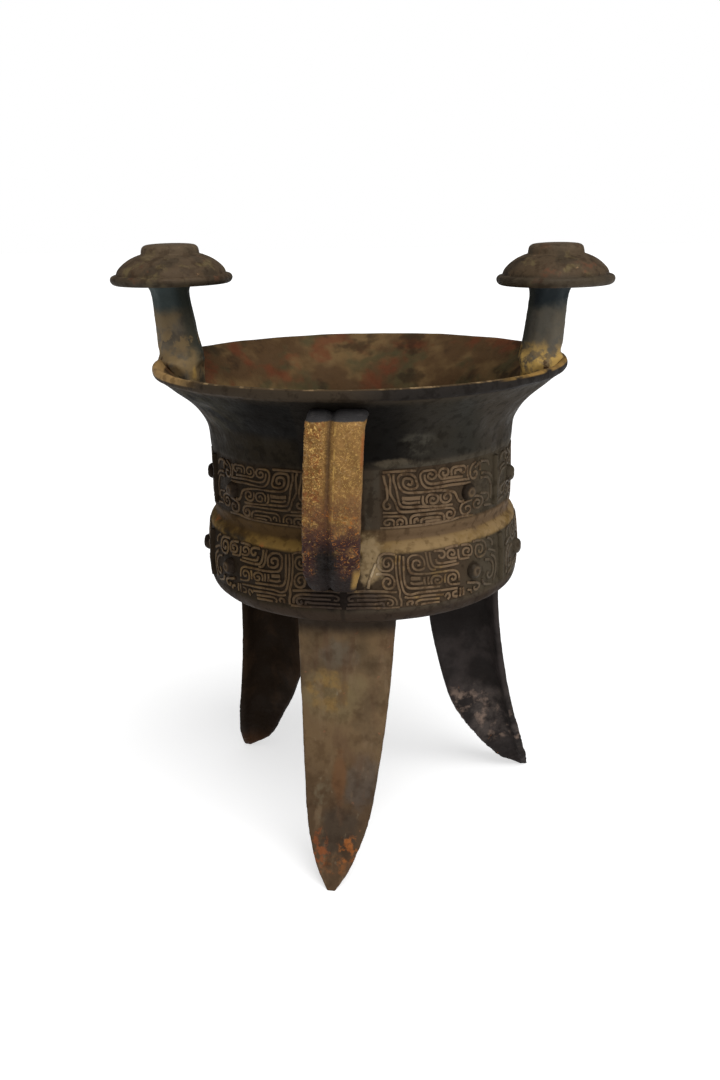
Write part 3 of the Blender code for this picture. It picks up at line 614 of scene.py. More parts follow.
# The crests are laid lighter than the feet of the lines, a painted shade in the grooves between them; on
# the right the crests are lighter still, partly their own patina and partly painted light.
raised = node(coat.tree, "ShaderNodeAttribute", {"attribute_name": "lift"}).outputs["Fac"]
crest = coat.ramp(raised, 0.5, 1.0)
line_right_patina_and_light = coat.ramp(coat.x, -0.03, 0.03)
coat.lay((0.068, 0.041, 0.019), crest)
coat.lay((0.135, 0.088, 0.05), crest, line_right_patina_and_light)
coat.lay(
    (0.2, 0.125, 0.045), crest, coat.blotch(0.004, 0.58, 0.7), coat.sum(0.25, coat.times(line_right_patina_and_light, 0.4)))
coat.lay((0.1, 0.06, 0.022), crest, coat.ramp(coat.x, -0.03, -0.045), coat.ramp(coat.z, 0.156, 0.152), 0.5)
coat.lay((0.034, 0.022, 0.012), coat.blotch(0.007, 0.5, 0.66, shift=(2, 5, 2)), 0.45)
# Painted shadow of the handle on the lines below its foot.
coat.lay((0.024, 0.017, 0.014), coat.patch((-0.001, -0.073, 0.13), (0.018, 0.03, 0.008)), 0.8)
coat.lay((0.2, 0.148, 0.09), coat.patch((0.0115, -0.072, 0.1485), (0.0048, 0.03, 0.0115), grain=0.003), 0.8)
coat.lay(
    (0.33, 0.25, 0.15), coat.patch((0.0122, -0.0725, 0.1425), (0.0028, 0.03, 0.006), ragged=0.3), crest,
    0.9)
coat.lay((0.06, 0.047, 0.031), coat.ramp(coat.x, 0.048, 0.062), coat.ramp(coat.y, 0.0, -0.01), 0.85)
coat.lay((0.62, 0.57, 0.52), coat.blotch(0.0016, 0.5, 0.62, shift=(6, 6, 6)), blend="MULTIPLY")
line_bronze = coat.finish(depth=0.0006, sheen=(0.004, -0.3, 1.1), grains=(0.002, 0.0006, 0.5))
friezes = (
    ("frieze_upper", upper_lines, (), upper_band, 0.0703),
    ("frieze_lower", lower_lines, below_handle_lines, lower_band, 0.0735),
)
for frieze_name, lines, front_lines, (low, high), girth in friezes:
    paths = []
    for seat, spread in zip(mask_seats, mask_spans):
        for mirror in (-1, 1):
            paths.extend(traced(line, low, high - low, girth, seat, spread, mirror) for line in lines)
    for seat, mirror in ((mask_seats[0], -1), (mask_seats[2], 1)):
        paths.extend(traced(line, low, high - low, girth, seat, 1.0, mirror) for line in front_lines)
    if front_lines:
        paths.append(traced(stray_run, low, high - low, girth, mask_seats[0], 1.0, -1) - (0.0, 0.0003, 0.0))
    guide = wall_guide(frieze_name, paths)
    frieze = grown(
        frieze_name, guide, tracing, line_bronze, Foot=line_foot, Top=line_top, Rise=line_rise, Wear=0.7,
        Wave_Scale=900.0, Unevenness=4e-05)
    finished(frieze)


# Round eyes and the masks' noses stand further out of the wall than the lines do. They are bosses and
# ridges of bronze, cast with the wall, and the eyes carry a painted highlight, lighter towards their
# crowns.

eye_radius = 0.0037
eye_rise = 0.0024
eye_side = math.radians(16.5)
studding, given = start_tree("bosses on the wall", (("Sides", "Int"), ("Turned", "Object")) + skin_sizes)
points = node(studding, "GeometryNodeMeshToPoints", Mesh=given.outputs["Guide"], Radius=0.001)
way_out = node(studding, "GeometryNodeInputNamedAttribute", {"data_type": "FLOAT_VECTOR"}, Name="outward")
aim = node(studding, "FunctionNodeAlignEulerToVector", {"axis": "Z"}, Vector=way_out)
boss_shape = node(studding, "GeometryNodeObjectInfo", Object=given.outputs["Turned"])
turned_round = node(studding, "GeometryNodeMeshToCurve", Mesh=boss_shape.outputs["Geometry"])
boss_circle = node(
    studding, "GeometryNodeCurvePrimitiveCircle", Resolution=given.outputs["Sides"], Radius=turning_radius)
boss_skin = node(studding, "GeometryNodeCurveToMesh", Curve=boss_circle, Profile_Curve=turned_round)
boss_pole = node(studding, "GeometryNodeMergeByDistance", Geometry=boss_skin, Distance=2e-5)
bosses = node(studding, "GeometryNodeInstanceOnPoints", Points=points, Instance=boss_pole, Rotation=aim)
real_bosses = node(studding, "GeometryNodeRealizeInstances", Geometry=bosses)
end_tree(studding, given, real_bosses)

eye_rows = eased([
    (0.0000, -0.0012), (0.0036, -0.0012), (eye_radius, 0.0000), (0.0034, 0.0011), (0.0026, 0.0020),
    (0.0014, eye_rise), (0.0008, 0.0022), (0.0000, 0.0021),
], 26)
eye_rows[:, 0] = np.maximum(eye_rows[:, 0], 0.0)
eye_profile = profile_guide("eye_profile", eye_rows[:, 0], eye_rows[:, 1])
# The lift rises towards the eye's crown, where the colour lays a painted highlight.
mark(eye_profile, "lift", 0.78 * np.clip(eye_rows[:, 1] / eye_rise, 0.0, 1.0) ** 2)
bpy.context.collection.objects.link(eye_profile)
eye_places = []
for low, high in (upper_band, lower_band):
    height = 0.55 * low + 0.45 * high
    for seat in mask_seats:
        for mirror in (-1, 1):
            eye_places.append(at(wall_radius(height), seat + mirror * eye_side, height))
eye_places = np.array(eye_places)
eye_guide = bpy.data.objects.new("eyes", bpy.data.meshes.new("eyes"))
eye_guide.data.from_pydata(eye_places.tolist(), [], [])
mark(eye_guide, "outward", (eye_places - (0.0, axis_y, 0.0)) * (1, 1, 0))
eyes = grown(
    "eyes", eye_guide, studding, line_bronze, Sides=28, Turned=eye_profile, Wave_Scale=500.0,
    Unevenness=0.00015)
bpy.data.objects.remove(eye_profile)
finished(eyes)

nose_end = 0.0016
nose_paths = []
for low, high in (upper_band, lower_band):
    for seat in mask_seats:
        heights = np.linspace(low + nose_end, high - nose_end, 60)
        nose_paths.append(at(wall_radius(heights) + 0.0001, seat + 0 * heights, heights))
noses = grown(
    "noses", wall_guide("noses", nose_paths), tracing, body_bronze, Foot=0.004, Top=0.0016, Rise=0.0022,
    Wear=0.9, Wave_Scale=300.0, Unevenness=0.00012)
finished(noses)


# Three bronze blade legs under the base, each a curved outer plate with a rib behind it, cast with
# the body and solid all through. They taper to a point that turns out a little at the foot.

leg_root = 0.1194
leg_broad = 0.0440
leg_deep = 0.0310
leg_shape = np.array([
    (0.000, 0.082, 0.116), (0.030, 0.200, 0.250), (0.070, 0.330, 0.430), (0.120, 0.440, 0.540),
    (0.200, 0.590, 0.610), (0.350, 0.727, 0.790), (0.600, 0.864, 0.940), (0.800, 0.940, 0.975),
    (1.000, 1.000, 1.000),
])


def skinned(name, rings):
    """A closed skin over rings of points, with a flat face at each end."""
    rings = np.asarray(rings)
    levels, count = rings.shape[:2]
    faces = [tuple(range(count))[::-1]]
    for level in range(levels - 1):
        low = level * count
        for side in range(count):
            after = (side + 1) % count
            faces.append((low + side, low + after, low + count + after, low + count + side))
    faces.append(tuple(range((levels - 1) * count, levels * count)))
    mesh = bpy.data.meshes.new(name)
    mesh.from_pydata(rings.reshape(-1, 3).tolist(), [], faces)
    return bpy.data.objects.new(name, mesh)


def evenly(outline, count):
    """A closed outline with this many points, evenly spaced."""
    closed = np.vstack((outline, outline[:1]))
    run = np.concatenate(([0.0], np.cumsum(np.linalg.norm(np.diff(closed, axis=0), axis=1))))
    even = np.linspace(0.0, run[-1], count + 1)[:-1]
    return np.column_stack([np.interp(even, run, column) for column in closed.T])


# The skin of a cast part: a slow unevenness all over, and grains of corrosion where "crust" is set.
crusting, given = start_tree(
    "uneven cast skin", (("Grain Scale", "Float"), ("Grain Height", "Float")) + skin_sizes)
here = node(crusting, "GeometryNodeInputPosition")
grain = node(
    crusting, "ShaderNodeTexNoise", {"normalize": True}, Vector=here, Scale=given.outputs["Grain Scale"],
    Detail=3.0, Roughness=0.6)
sharp = node(
    crusting, "ShaderNodeMapRange", {"interpolation_type": "SMOOTHSTEP"}, Value=grain.outputs["Fac"],
    From_Min=0.44, From_Max=0.66, To_Min=0.0, To_Max=given.outputs["Grain Height"])
crusty = node(crusting, "GeometryNodeInputNamedAttribute", {"data_type": "FLOAT"}, Name="crust")
raised_by = node(crusting, "ShaderNodeMath", {"operation": "MULTIPLY"}, _0=sharp, _1=crusty)
away = node(crusting, "GeometryNodeInputNormal")
grown_out = node(crusting, "ShaderNodeVectorMath", {"operation": "SCALE"}, _0=away, Scale=raised_by)
crusted = node(crusting, "GeometryNodeSetPosition", Geometry=given.outputs["Guide"], Offset=grown_out)
end_tree(crusting, given, crusted)


def cast(guide, material, crust=0.0, grain=700.0, height=0.0003, wave=90.0, unevenness=0.0002):
    """Gives a skinned guide its uneven skin, with crust as a share for each point."""
    mark(guide, "crust", np.zeros(len(guide.data.vertices)) + crust)
    return finished(grown(guide.name, guide, crusting, material, Grain_Scale=grain, Grain_Height=height,
                          Wave_Scale=wave, Unevenness=unevenness))


def softened(outline, share, times):
    """A closed outline with its corners cut back, the same share at each pass."""
    outline = np.asarray(outline, float)
    for _ in range(times):
        after = np.roll(outline, -1, axis=0)
        cut = np.stack((outline + share * (after - outline), after + share * (outline - after)), axis=1)
        outline = cut.reshape(-1, 2)
    return outline


def leg_rings(azimuth, outset, belly):
    shares = np.concatenate((np.linspace(0.0, 0.10, 24)[:-1], np.linspace(0.10, 1.0, 150)))
    shape = eased(leg_shape * (3, 1, 1), 400) / (3, 1, 1)
    rings = []
    for share in shares:
        width = leg_broad * np.interp(share, shape[:, 0], shape[:, 1])
        depth = leg_deep * np.interp(share, shape[:, 0], shape[:, 2])
        depth += min(1.0, 5 * share) * (outset * share + belly * math.exp(-((share - 0.30) / 0.20) ** 2))
        half = width / 2
        bow = half * half / 0.128
        mid_bow = bow / 4
        edge = min(0.0030, 0.45 * depth)
        plate = min(0.0046, 0.75 * depth)
        rib = min(0.0056, 0.7 * width) / 2
        shoulder_at = max(0.5 * half, rib)
        back = mid_bow + 0.5 * (plate + edge)
        web = plate + 0.2 * (depth - plate)
        right = [
            (0.0, 0.0), (0.5 * half, mid_bow), (0.97 * half, 0.94 * bow), (half, bow + 0.15 * edge),
            (half, bow + 0.85 * edge), (0.96 * half, bow + edge), (shoulder_at, back),
            (rib, web), (0.8 * rib, 0.97 * depth), (0.5 * rib, depth),
        ]
        outline = right + [(-across, inward) for across, inward in right[:0:-1]]
        outline = evenly(softened(outline, 0.25, 2), 116)
        radius = 0.0640 + 0.0265 * (1 - share) ** 1.9 + outset * share
        turn = azimuth + math.radians(-4.3 + 3.5 * share)
        out = radius - outline[:, 1]
        x = out * math.sin(turn) + outline[:, 0] * math.cos(turn)
        y = axis_y - out * math.cos(turn) + outline[:, 0] * math.sin(turn)
        rings.append(np.column_stack((x, y, np.full(len(x), share * leg_root))))
    return rings


coat = Patina("old_bronze_front_leg", (0.118, 0.074, 0.036), metallic=0.1, specular=0.12)
coat.lay((0.062, 0.042, 0.023), coat.blotch(0.012, 0.44, 0.66), 0.7)
coat.lay((0.054, 0.031, 0.016), coat.ramp(coat.z, 0.066, 0.03), 0.8)
coat.lay((0.13, 0.094, 0.046), coat.patch((-0.006, -0.07, 0.084), (0.014, 0.04, 0.011), grain=0.006), 0.8)
coat.lay(
    (0.19, 0.115, 0.038), coat.patch((-0.01, -0.07, 0.086), (0.01, 0.04, 0.009)),
    coat.blotch(0.003, 0.38, 0.58), 0.8)
coat.lay((0.1, 0.08, 0.056), coat.patch((-0.005, -0.07, 0.102), (0.008, 0.04, 0.008), grain=0.005), 0.7)
coat.lay((0.056, 0.05, 0.046), coat.patch((0.006, -0.08, 0.046), (0.0075, 0.05, 0.012), grain=0.006), 0.45)
coat.lay((0.11, 0.05, 0.02), coat.patch((-0.004, -0.08, 0.048), (0.0032, 0.05, 0.013)), 0.7)
coat.lay((0.036, 0.026, 0.018), coat.patch((-0.004, -0.09, 0.024), (0.009, 0.05, 0.012), grain=0.006), 0.7)
coat.lay((0.078, 0.042, 0.022), coat.blotch(0.005, 0.5, 0.66, shift=(8, 8, 2), stretch=(1, 1, 0.22)), 0.6)
coat.lay((0.15, 0.1, 0.056), coat.blotch(0.004, 0.54, 0.68, shift=(1, 4, 9), stretch=(1, 1, 0.22)), 0.5)
coat.lay(
    (0.19, 0.055, 0.016), coat.patch((-0.0125, -0.09, 0.016), (0.004, 0.05, 0.0085), grain=0.002),
    coat.blotch(0.0016, 0.46, 0.6), 0.8)
coat.lay(
    (0.24, 0.08, 0.02), coat.patch((0.001, -0.09, 0.0175), (0.005, 0.05, 0.006), grain=0.002),
    coat.blotch(0.0016, 0.46, 0.6), 0.9)
coat.lay(
    (0.2, 0.07, 0.018), coat.patch((-0.005, -0.09, 0.01), (0.006, 0.05, 0.005), grain=0.002),
    coat.blotch(0.002, 0.46, 0.62), 0.6)
coat.lay(
    (0.11, 0.084, 0.05), coat.patch((-0.012, -0.085, 0.039), (0.004, 0.05, 0.01), grain=0.004),
    coat.blotch(0.0026, 0.44, 0.62), 0.7)
coat.lay((0.2, 0.08, 0.04), coat.blotch(0.0022, 0.66, 0.74, shift=(9, 1, 4)), 0.5)
coat.lay((0.21, 0.17, 0.11), coat.blotch(0.0014, 0.64, 0.76, shift=(2, 8, 4), stretch=(1, 1, 0.35)), 0.35)
# Painted shadow under the body's edge: the top of the leg is laid dark.
coat.lay((0.02, 0.014, 0.01), coat.ramp(coat.z, 0.109, 0.1165), 0.9)
# Painted shade on the rib behind the plate, beneath the body.
coat.lay((0.024, 0.016, 0.011), coat.ramp(coat.y, -0.055, -0.045), 0.9)
coat.lay((0.74, 0.7, 0.66), coat.blotch(0.003, 0.46, 0.66, shift=(6, 6, 6)), blend="MULTIPLY")
front_bronze = coat.finish()

# The right leg's very dark ground is painted shade for a leg standing in shadow; the crust blotches laid on
# it are its own.
coat = Patina("old_bronze_right_leg", (0.015, 0.012, 0.011), metallic=0.08, specular=0.08)
coat.lay((0.034, 0.027, 0.025), coat.blotch(0.01, 0.44, 0.62), 0.8)
coat.lay((0.056, 0.045, 0.04), coat.between(coat.z, 0.016, 0.052, 0.008), coat.blotch(0.0055, 0.44, 0.66))
coat.lay(
    (0.175, 0.124, 0.096), coat.between(coat.z, 0.018, 0.05, 0.008),
    coat.blotch(0.0038, 0.52, 0.7, shift=(1, 3, 1)))
coat.lay(
    (0.26, 0.085, 0.018), coat.between(coat.z, 0.006, 0.048, 0.006),
    coat.blotch(0.002, 0.68, 0.74, shift=(7, 3, 1)))
right_leg_crust_and_shade = coat.finish()

# The left leg is laid very dark, painted shade for a leg standing in shadow; its reddish tip is its own
# colour.
coat = Patina("old_bronze_left_leg", (0.0105, 0.006, 0.0031), metallic=0.05, specular=0.05)
coat.lay((0.022, 0.012, 0.006), coat.blotch(0.008, 0.46, 0.66), 0.8)
coat.lay((0.055, 0.024, 0.01), coat.ramp(coat.z, 0.016, 0.004), 0.5)
shaded_left_leg_bronze = coat.finish()

for leg_name, turn, outset, belly, crusted, bronze in (
    ("leg_front", 0.0, 0.0, 0.0, 0.25, front_bronze),
    ("leg_right", 120.0, 0.0028, 0.0036, 0.85, right_leg_crust_and_shade),
    ("leg_left", 240.0, 0.0034, 0.0004, 0.25, shaded_left_leg_bronze),
):
    guide = skinned(leg_name, leg_rings(math.radians(turn), outset, belly))
    foot = np.array([vertex.co.z for vertex in guide.data.vertices])
    low_crust = eased_step(-foot, -0.040, -0.028) * eased_step(foot, 0.002, 0.008)
    leg = cast(guide, bronze, crust=0.15 + crusted * low_crust, grain=420.0, height=0.0005)
    # The uneven skin doesn't dip through the table.
    for vertex in leg.data.vertices:
        vertex.co.z = max(vertex.co.z, 0.0)


# Two bronze posts stand on the lip, one each side of the mouth, cast with it. Each is a faceted shaft
# whose root runs on down the inside of the wall, and it swells where it meets the cap.

post_rises = {"left": 0.0342, "right": 0.0320}
post_sides = {"left": -math.pi / 2, "right": math.pi / 2}
post_feet = {"left": 0.0843, "right": 0.0828}
post_leans = {"left": 0.0042, "right": 0.0038}
post_swells = {"left": 1.10, "right": 1.02}


def post_rings(side):
    azimuth, rise = post_sides[side], post_rises[side]
    foot, lean, stout = post_feet[side], post_leans[side], post_swells[side]
    inner = foot - 0.0089
    rows = []
    for share, depth in ((1.0, 0.0128), (0.75, 0.0190), (0.5, 0.0240), (0.25, 0.0275)):
        height = rim_height - share * 0.018
        outer = float(wall_radius(height)) - 0.5 * wall
        width = max(outer - inner, 0.0022)
        rows.append((outer - width / 2, width, depth, min(0.005, 0.35 * width), height))
    rows.append((foot + 0.0002, 0.0202, 0.0290, 0.0080, rim_height - 0.0012))
    rows.append((foot + 0.0002, 0.0198, 0.0250, 0.0070, rim_height + 0.0004))
    rows.append((foot, 0.0178 * stout, 0.0180, 0.0052, rim_height + 0.0028))
    for share, swell in ((0.20, stout), (0.50, 0.5 + 0.48 * stout), (0.84, 0.97), (0.95, 1.05),
                         (1 + 0.0045 / rise, 1.50)):
        rows.append((foot + share * lean, swell * 0.0178, swell * 0.0150, swell * 0.005,
                     rim_height + share * rise))
    rings = []
    for radius, width, depth, chamfer, height in eased(rows, 130):
        out, side_way = width / 2, depth / 2
        outline = evenly(softened([
            (out, side_way - chamfer), (out - chamfer, side_way), (chamfer - out, side_way),
            (-out, side_way - chamfer), (-out, chamfer - side_way), (chamfer - out, -side_way),
            (out - chamfer, -side_way), (out, chamfer - side_way),
        ], 0.12, 2), 88)
        point = at(radius + outline[:, 0], azimuth, height)
        point[:, 0] += outline[:, 1] * math.cos(azimuth)
        point[:, 1] += outline[:, 1] * math.sin(azimuth)
        rings.append(point)
    return rings


coat = Patina("old_bronze_post", (0.105, 0.086, 0.06), metallic=0.08, specular=0.15)
post_right = coat.ramp(coat.x, -0.02, 0.02)
coat.lay((0.165, 0.115, 0.058), coat.blotch(0.006, 0.46, 0.62), 0.7)
coat.lay((0.052, 0.044, 0.035), coat.blotch(0.006, 0.5, 0.64, shift=(3, 1, 5)), 0.7)
coat.lay((0.105, 0.098, 0.08), post_right, 0.7)
post_top = coat.ramp(coat.sum(coat.z, coat.times(coat.noise(0.006), 0.01)), 0.25, 0.256)
coat.lay((0.038, 0.052, 0.052), post_top, 0.95)
coat.lay((0.085, 0.085, 0.075), post_top, coat.blotch(0.003, 0.6, 0.68), 0.8)
coat.lay((0.012, 0.017, 0.021), post_top, post_right, 0.8)
# The post faces that turn towards the mouth are painted darker, a painted shade on those facets.
inner_left = coat.ramp(coat.sum(coat.x, coat.times(coat.z, 0.133)), -0.05, -0.047)
inner_right = coat.ramp(coat.sum(coat.x, coat.times(coat.z, -0.133)), 0.047, 0.045)
coat.lay((0.034, 0.037, 0.027), inner_left, coat.ramp(coat.x, -0.02, -0.03), 0.75)
coat.lay((0.04, 0.042, 0.033), inner_right, coat.ramp(coat.x, 0.02, 0.03), 0.7)
coat.lay(
    (0.19, 0.13, 0.062), coat.ramp(coat.x, -0.02, -0.03), coat.between(coat.z, 0.228, 0.238, 0.003),
    coat.blotch(0.003, 0.5, 0.58, shift=(2, 6, 1)), 0.8)
post_foot = coat.ramp(coat.sum(coat.z, coat.times(coat.noise(0.005), 0.012)), 0.239, 0.232)
coat.lay((0.21, 0.14, 0.062), post_foot, coat.blotch(0.004, 0.36, 0.56), 0.8)
coat.lay((0.5, 0.32, 0.095), post_foot, post_right, coat.blotch(0.003, 0.42, 0.56))
coat.lay((0.06, 0.03, 0.012), post_foot, coat.blotch(0.003, 0.6, 0.68, shift=(4, 4, 4)))
coat.lay(
    (0.42, 0.26, 0.07),
    coat.patch((-0.075, -0.0115, 0.219), (0.0022, 0.006, 0.005), ragged=0.5, grain=0.002), 0.85)
coat.lay(
    (0.045, 0.052, 0.042), coat.ramp(coat.x, -0.077, -0.0735), coat.ramp(coat.x, -0.02, -0.03),
    coat.ramp(coat.z, 0.219, 0.226), 0.75)
post_inside = coat.ramp(coat.z, 0.217, 0.211)
coat.lay((0.06, 0.042, 0.024), post_inside)
post_bronze = coat.finish()
for side in post_rises:
    cast(skinned("post_" + side, post_rings(side)), post_bronze, crust=0.3, grain=500.0, height=0.0003)


# A low umbrella cap sits on each post: a rolled edge, a small step, a swelling cone and a flat knob.
# Each is bronze and one casting with its post, whose swelled top goes up into it.

cap_radius = 0.0269
cap_sizes = {"left": 1.045, "right": 0.975}
cap_rows = np.array([
    (0.0000, 0.0026), (0.0215, 0.0012), (0.0238, 0.0001), (0.0250, 0.0000), (0.0262, 0.0007),
    (0.0269, 0.0022), (0.0265, 0.0036), (0.0254, 0.0043), (0.0243, 0.0043), (0.0241, 0.0050),
    (0.0234, 0.0066), (0.0212, 0.0090), (0.0180, 0.0113), (0.0145, 0.0129), (0.0129, 0.0135),
    (0.0127, 0.0146), (0.0122, 0.0163), (0.0110, 0.0173), (0.0070, 0.0179), (0.0000, 0.0180),
])
cap_line = eased(cap_rows, 130)
cap_line[:, 0] = np.clip(cap_line[:, 0], 0.0, cap_radius)
cap_line[0, 0] = cap_line[-1, 0] = 0.0
cap_line[:, 1] = np.clip(cap_line[:, 1], 0.0, 0.0180)
coat = Patina("old_bronze_cap", (0.068, 0.044, 0.024), metallic=0.1, specular=0.15)
coat.lay((0.036, 0.026, 0.016), coat.blotch(0.006, 0.48, 0.6), 0.7)
coat.lay((0.12, 0.088, 0.04), coat.blotch(0.005, 0.54, 0.66, shift=(3, 7, 1)), 0.8)
coat.lay((0.11, 0.045, 0.022), coat.blotch(0.004, 0.58, 0.68, shift=(7, 1, 5)), 0.7)
coat.lay((0.24, 0.145, 0.075), coat.blotch(0.0016, 0.68, 0.74, shift=(2, 2, 8)), 0.8)
# Painted light: the upper cone and knob of the cap are laid lighter, as lit from above.
coat.lay((0.115, 0.083, 0.05), coat.ramp(coat.z, 0.268, 0.274), 0.4)
# Painted shade under the cap: its underside and rolled edge are laid darker.
coat.lay((0.036, 0.03, 0.02), coat.ramp(coat.z, 0.2632, 0.2602), 0.6)
coat.lay((0.66, 0.62, 0.58), coat.blotch(0.0024, 0.48, 0.62, shift=(6, 6, 6)), blend="MULTIPLY")
cap_bronze = coat.finish()
for side, rise in post_rises.items():
    broad = cap_sizes[side]
    centre = at(0.1149 - cap_radius * broad, post_sides[side], rim_height + rise)
    cap_guide = profile_guide("cap_" + side, broad * cap_line[:, 0], cap_line[:, 1])
    finished(grown("cap_" + side, cap_guide, turning, cap_bronze, Sides=140, Centre=tuple(centre),
                   Wave_Scale=110.0, Unevenness=0.0))


# The handle is a broad bronze strap that goes from under the lip down to the swell of the lower tier,
# with a shallow valley down the middle of its face. It was cast in place, above the front leg.

handle_path = eased([
    (0.0830, 0.2140), (0.0875, 0.2141), (0.0922, 0.2128), (0.0945, 0.2121), (0.0957, 0.2114),
    (0.0964, 0.2102), (0.0967, 0.2080), (0.0967, 0.1950), (0.0960, 0.1780), (0.0940, 0.1640),
    (0.0905, 0.1530), (0.0850, 0.1440), (0.0790, 0.1395), (0.0722, 0.1380),
], 250)
handle_half = 0.0119
handle_foot = 0.1380
handle_tall = 0.0750
handle_section = np.array([
    (-1.000, 0.0002), (-0.985, 0.0012), (-0.90, 0.0019), (-0.60, 0.0023), (-0.36, 0.0020),
    (-0.24, 0.0009), (-0.17, 0.0001), (-0.11, 0.0008), (0.01, 0.0020), (0.12, 0.0024), (0.50, 0.0024),
    (0.90, 0.0020), (0.985, 0.0012), (1.000, 0.0002), (1.0, -0.0017), (0.0, -0.0024), (-1.0, -0.0017),
])


def handle_rings(section):
    along = np.gradient(handle_path, axis=0)
    along /= np.linalg.norm(along, axis=1)[:, None]
    rings = []
    for (radius, height), (run, drop) in zip(handle_path, along):
        share = (height - handle_foot) / handle_tall
        lean = -0.0034 + share * 0.0048
        narrow = 1.0 - 0.20 * float(eased_step(-height, -0.1500, -handle_foot))
        x = section[:, 0] * narrow + lean
        out = radius - section[:, 1] * drop
        rings.append(np.column_stack((x, axis_y - out, height + section[:, 1] * run)))
    return rings


coat = Patina("old_bronze_handle", (0.222, 0.118, 0.037), metallic=0.15, specular=0.12)
across = node(coat.tree, "ShaderNodeAttribute", {"attribute_name": "across"}).outputs["Fac"]
handle_left = coat.ramp(across, 0.36, 0.3)
coat.lay((0.13, 0.072, 0.022), coat.blotch(0.003, 0.42, 0.62), 0.7)
coat.lay(
    (0.135, 0.062, 0.016), coat.sum(coat.times(handle_left, 0.5), 0.4),
    coat.blotch(0.0013, 0.42, 0.58, curl=1.2))
coat.lay((0.185, 0.06, 0.016), handle_left, coat.blotch(0.0022, 0.52, 0.62, shift=(7, 7, 1), curl=1.5), 0.8)
coat.lay(
    (0.52, 0.32, 0.095), coat.blotch(0.0007, 0.53, 0.64, shift=(3, 1, 2), curl=2.0),
    coat.sum(0.55, coat.times(handle_left, 0.4)))
coat.lay(
    (0.3, 0.19, 0.085), coat.blotch(0.0016, 0.6, 0.66, shift=(1, 9, 2), curl=3.0),
    coat.ramp(coat.z, 0.16, 0.175), 0.6)
valley = coat.between(across, 0.385, 0.455, 0.03)
coat.lay((0.07, 0.038, 0.018), valley, 0.75)
coat.lay((0.48, 0.3, 0.08), coat.between(across, 0.515, 0.535, 0.012), coat.blotch(0.0025, 0.46, 0.6), 0.7)
crusty_low = coat.ramp(coat.sum(coat.z, coat.times(coat.noise(0.006), 0.026)), 0.209, 0.179)
coat.lay((0.085, 0.036, 0.019), crusty_low, coat.blotch(0.004, 0.34, 0.54), 0.85)
coat.lay(
    (0.032, 0.013, 0.011), crusty_low, coat.ramp(coat.z, 0.175, 0.162),
    coat.blotch(0.0026, 0.28, 0.48, shift=(5, 5, 1)))
coat.lay((0.3, 0.105, 0.02), crusty_low, coat.blotch(0.0009, 0.58, 0.66, shift=(2, 2, 9), curl=2.0))
coat.lay((0.33, 0.2, 0.07), crusty_low, coat.blotch(0.0008, 0.6, 0.68, shift=(6, 2, 3), curl=2.0), 0.7)
black_mask = coat.times(coat.between(across, 0.22, 0.62, 0.1), coat.ramp(coat.z, 0.166, 0.156))
coat.lay((0.008, 0.006, 0.005), black_mask, 0.97)
coat.lay((0.011, 0.007, 0.006), coat.ramp(coat.z, 0.151, 0.144), 0.95)
coat.lay(
    (0.27, 0.16, 0.045), coat.ramp(across, 0.84, 0.93), coat.between(coat.z, 0.1405, 0.15, 0.0025), 0.9)
coat.lay((0.23, 0.075, 0.02), coat.ramp(across, 0.94, 0.98), 0.8, coat.between(coat.z, 0.195, 0.208, 0.003))
top_face = coat.ramp(coat.sum(coat.z, coat.times(coat.noise(0.003), 0.001)), 0.2131, 0.2137)
coat.lay((0.032, 0.03, 0.03), top_face)
coat.lay((0.05, 0.046, 0.044), top_face, coat.blotch(0.0016, 0.54, 0.64), 0.6)
inner_side = coat.ramp(across, 1.2, 1.3)
coat.lay((0.03, 0.022, 0.015), inner_side)
handle_bronze = coat.finish(depth=0.0006, sheen=(0.003, -0.3, 1.1), grains=(0.0016, 0.0006, 0.7))
section = evenly(softened(handle_section * (handle_half, 1.0), 0.25, 2), 140)
rings = np.asarray(handle_rings(section))
strap = skinned("handle", rings)
outer_face = section[:, 1] > -0.0004
share_across = np.where(outer_face, 0.5 + 0.5 * section[:, 0] / handle_half, 1.5)
mark(strap, "across", np.tile(share_across, len(rings)))
tall = rings[:, :, 2].ravel()
left_side = np.tile(np.where(outer_face, 1.0 - 0.7 * eased_step(share_across, 0.32, 0.45), 0.1), len(rings))
crust = eased_step(-tall, -0.213, -0.210) * np.maximum(left_side, eased_step(-tall, -0.168, -0.155))
crust *= 1.0 - 0.75 * eased_step(-tall, -0.152, -0.144)
cast(strap, handle_bronze, crust=crust, grain=900.0, height=0.0006, wave=140.0, unevenness=0.00018)


# The vessel stands on a plain pale table under soft lamps, seen from a little above and from the
# side of the handle.

table_mesh = bpy.data.meshes.new("table")
table_mesh.from_pydata([(-6, -6, 0), (6, -6, 0), (6, 6, 0), (-6, 6, 0)], [], [(0, 1, 2, 3)])
table_coat = bpy.data.materials.new("pale_table")
table_coat.use_nodes = True
white = (1.0, 1.0, 1.0, 1.0)
for socket, value in (("Base Color", (0.60, 0.60, 0.60, 1.0)), ("Roughness", 0.9),
                      ("Emission Color", white), ("Emission Strength", 0.60)):
    table_coat.node_tree.nodes["Principled BSDF"].inputs[socket].default_value = value
table_mesh.materials.append(table_coat)
table = bpy.data.objects.new("table", table_mesh)
bpy.context.collection.objects.link(table)

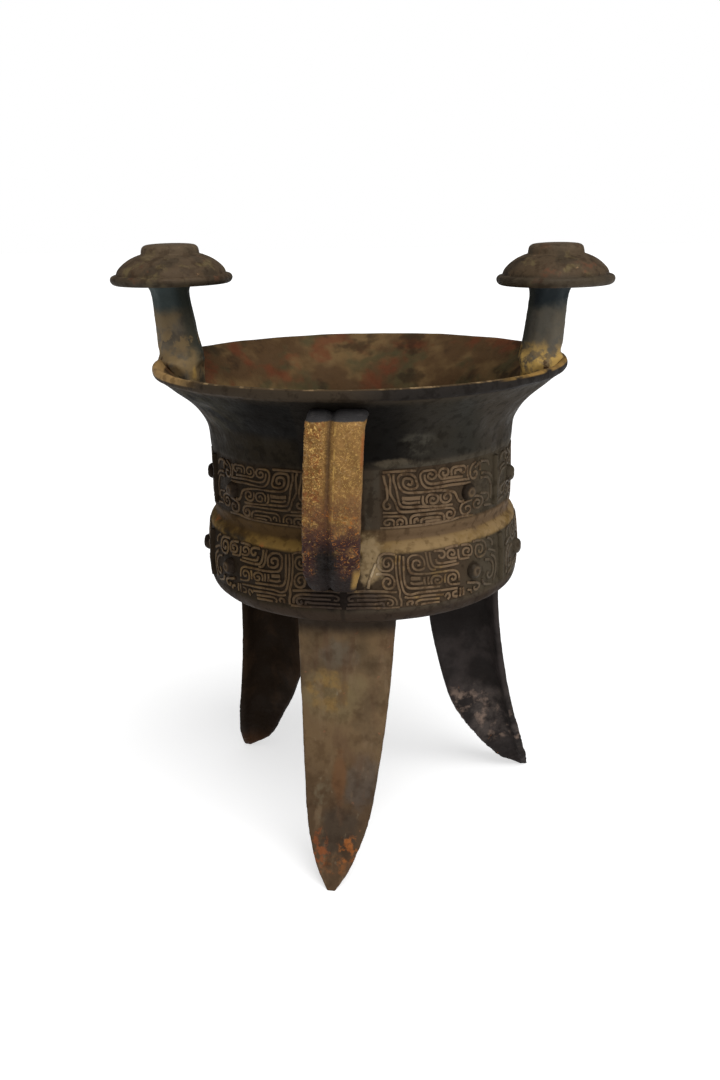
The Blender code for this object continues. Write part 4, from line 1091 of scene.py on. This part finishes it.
room = bpy.data.worlds.new("room")
bpy.context.scene.world = room
room.use_nodes = True
sky = room.node_tree.nodes["Background"]
sky.inputs["Strength"].default_value = 0.24
seen = node(room.node_tree, "ShaderNodeLightPath").outputs["Is Camera Ray"]
paper = node(room.node_tree, "ShaderNodeBackground", Color=white, Strength=1.0)
backdrop = node(room.node_tree, "ShaderNodeMixShader", Fac=seen, _1=sky, _2=paper)
room.node_tree.links.new(backdrop.outputs[0], room.node_tree.nodes["World Output"].inputs["Surface"])
sky.inputs["Color"].default_value = white


def lamp(name, side, height, strength, softness):
    """A far soft lamp, by its degrees round from the handle side and above the table."""
    light = bpy.data.lights.new(name, "SUN")
    light.energy = strength
    light.angle = math.radians(softness)
    stand = bpy.data.objects.new(name, light)
    bpy.context.collection.objects.link(stand)
    stand.rotation_euler = (math.radians(90 - height), 0.0, math.radians(side))


lamp("lamp_above", 38, 58, 2.7, 50)
lamp("lamp_front", 10, 25, 0.5, 50)

# The camera's place and tilt, turned a little round the vessel's axis.
view_turn = math.radians(7)
view_pitch = 0.291
view_roll = 0.021
camera_data = bpy.data.cameras.new("camera")
camera_data.lens = 38.61
camera_data.sensor_width = 36.0
camera = bpy.data.objects.new("camera", camera_data)
bpy.context.collection.objects.link(camera)
level = np.array((1.0, 0.0, 0.0))
upright = np.array((0.0, math.sin(view_pitch), math.cos(view_pitch)))
ahead = np.array((0.0, math.cos(view_pitch), -math.sin(view_pitch)))
right = level * math.cos(view_roll) - upright * math.sin(view_roll)
up = level * math.sin(view_roll) + upright * math.cos(view_roll)
spot = np.array((-0.00152, -0.5383, 0.2974))
swing = np.array((
    (math.cos(view_turn), -math.sin(view_turn), 0.0),
    (math.sin(view_turn), math.cos(view_turn), 0.0),
    (0.0, 0.0, 1.0),
))
frame_of_view = np.eye(4)
frame_of_view[:3, :3] = swing @ np.column_stack((right, up, -ahead))
frame_of_view[:3, 3] = swing @ spot + (0.0, axis_y, 0.0)
camera.matrix_world = [list(row) for row in frame_of_view.T]
bpy.context.scene.camera = camera
bpy.context.scene.view_settings.view_transform = "Standard"
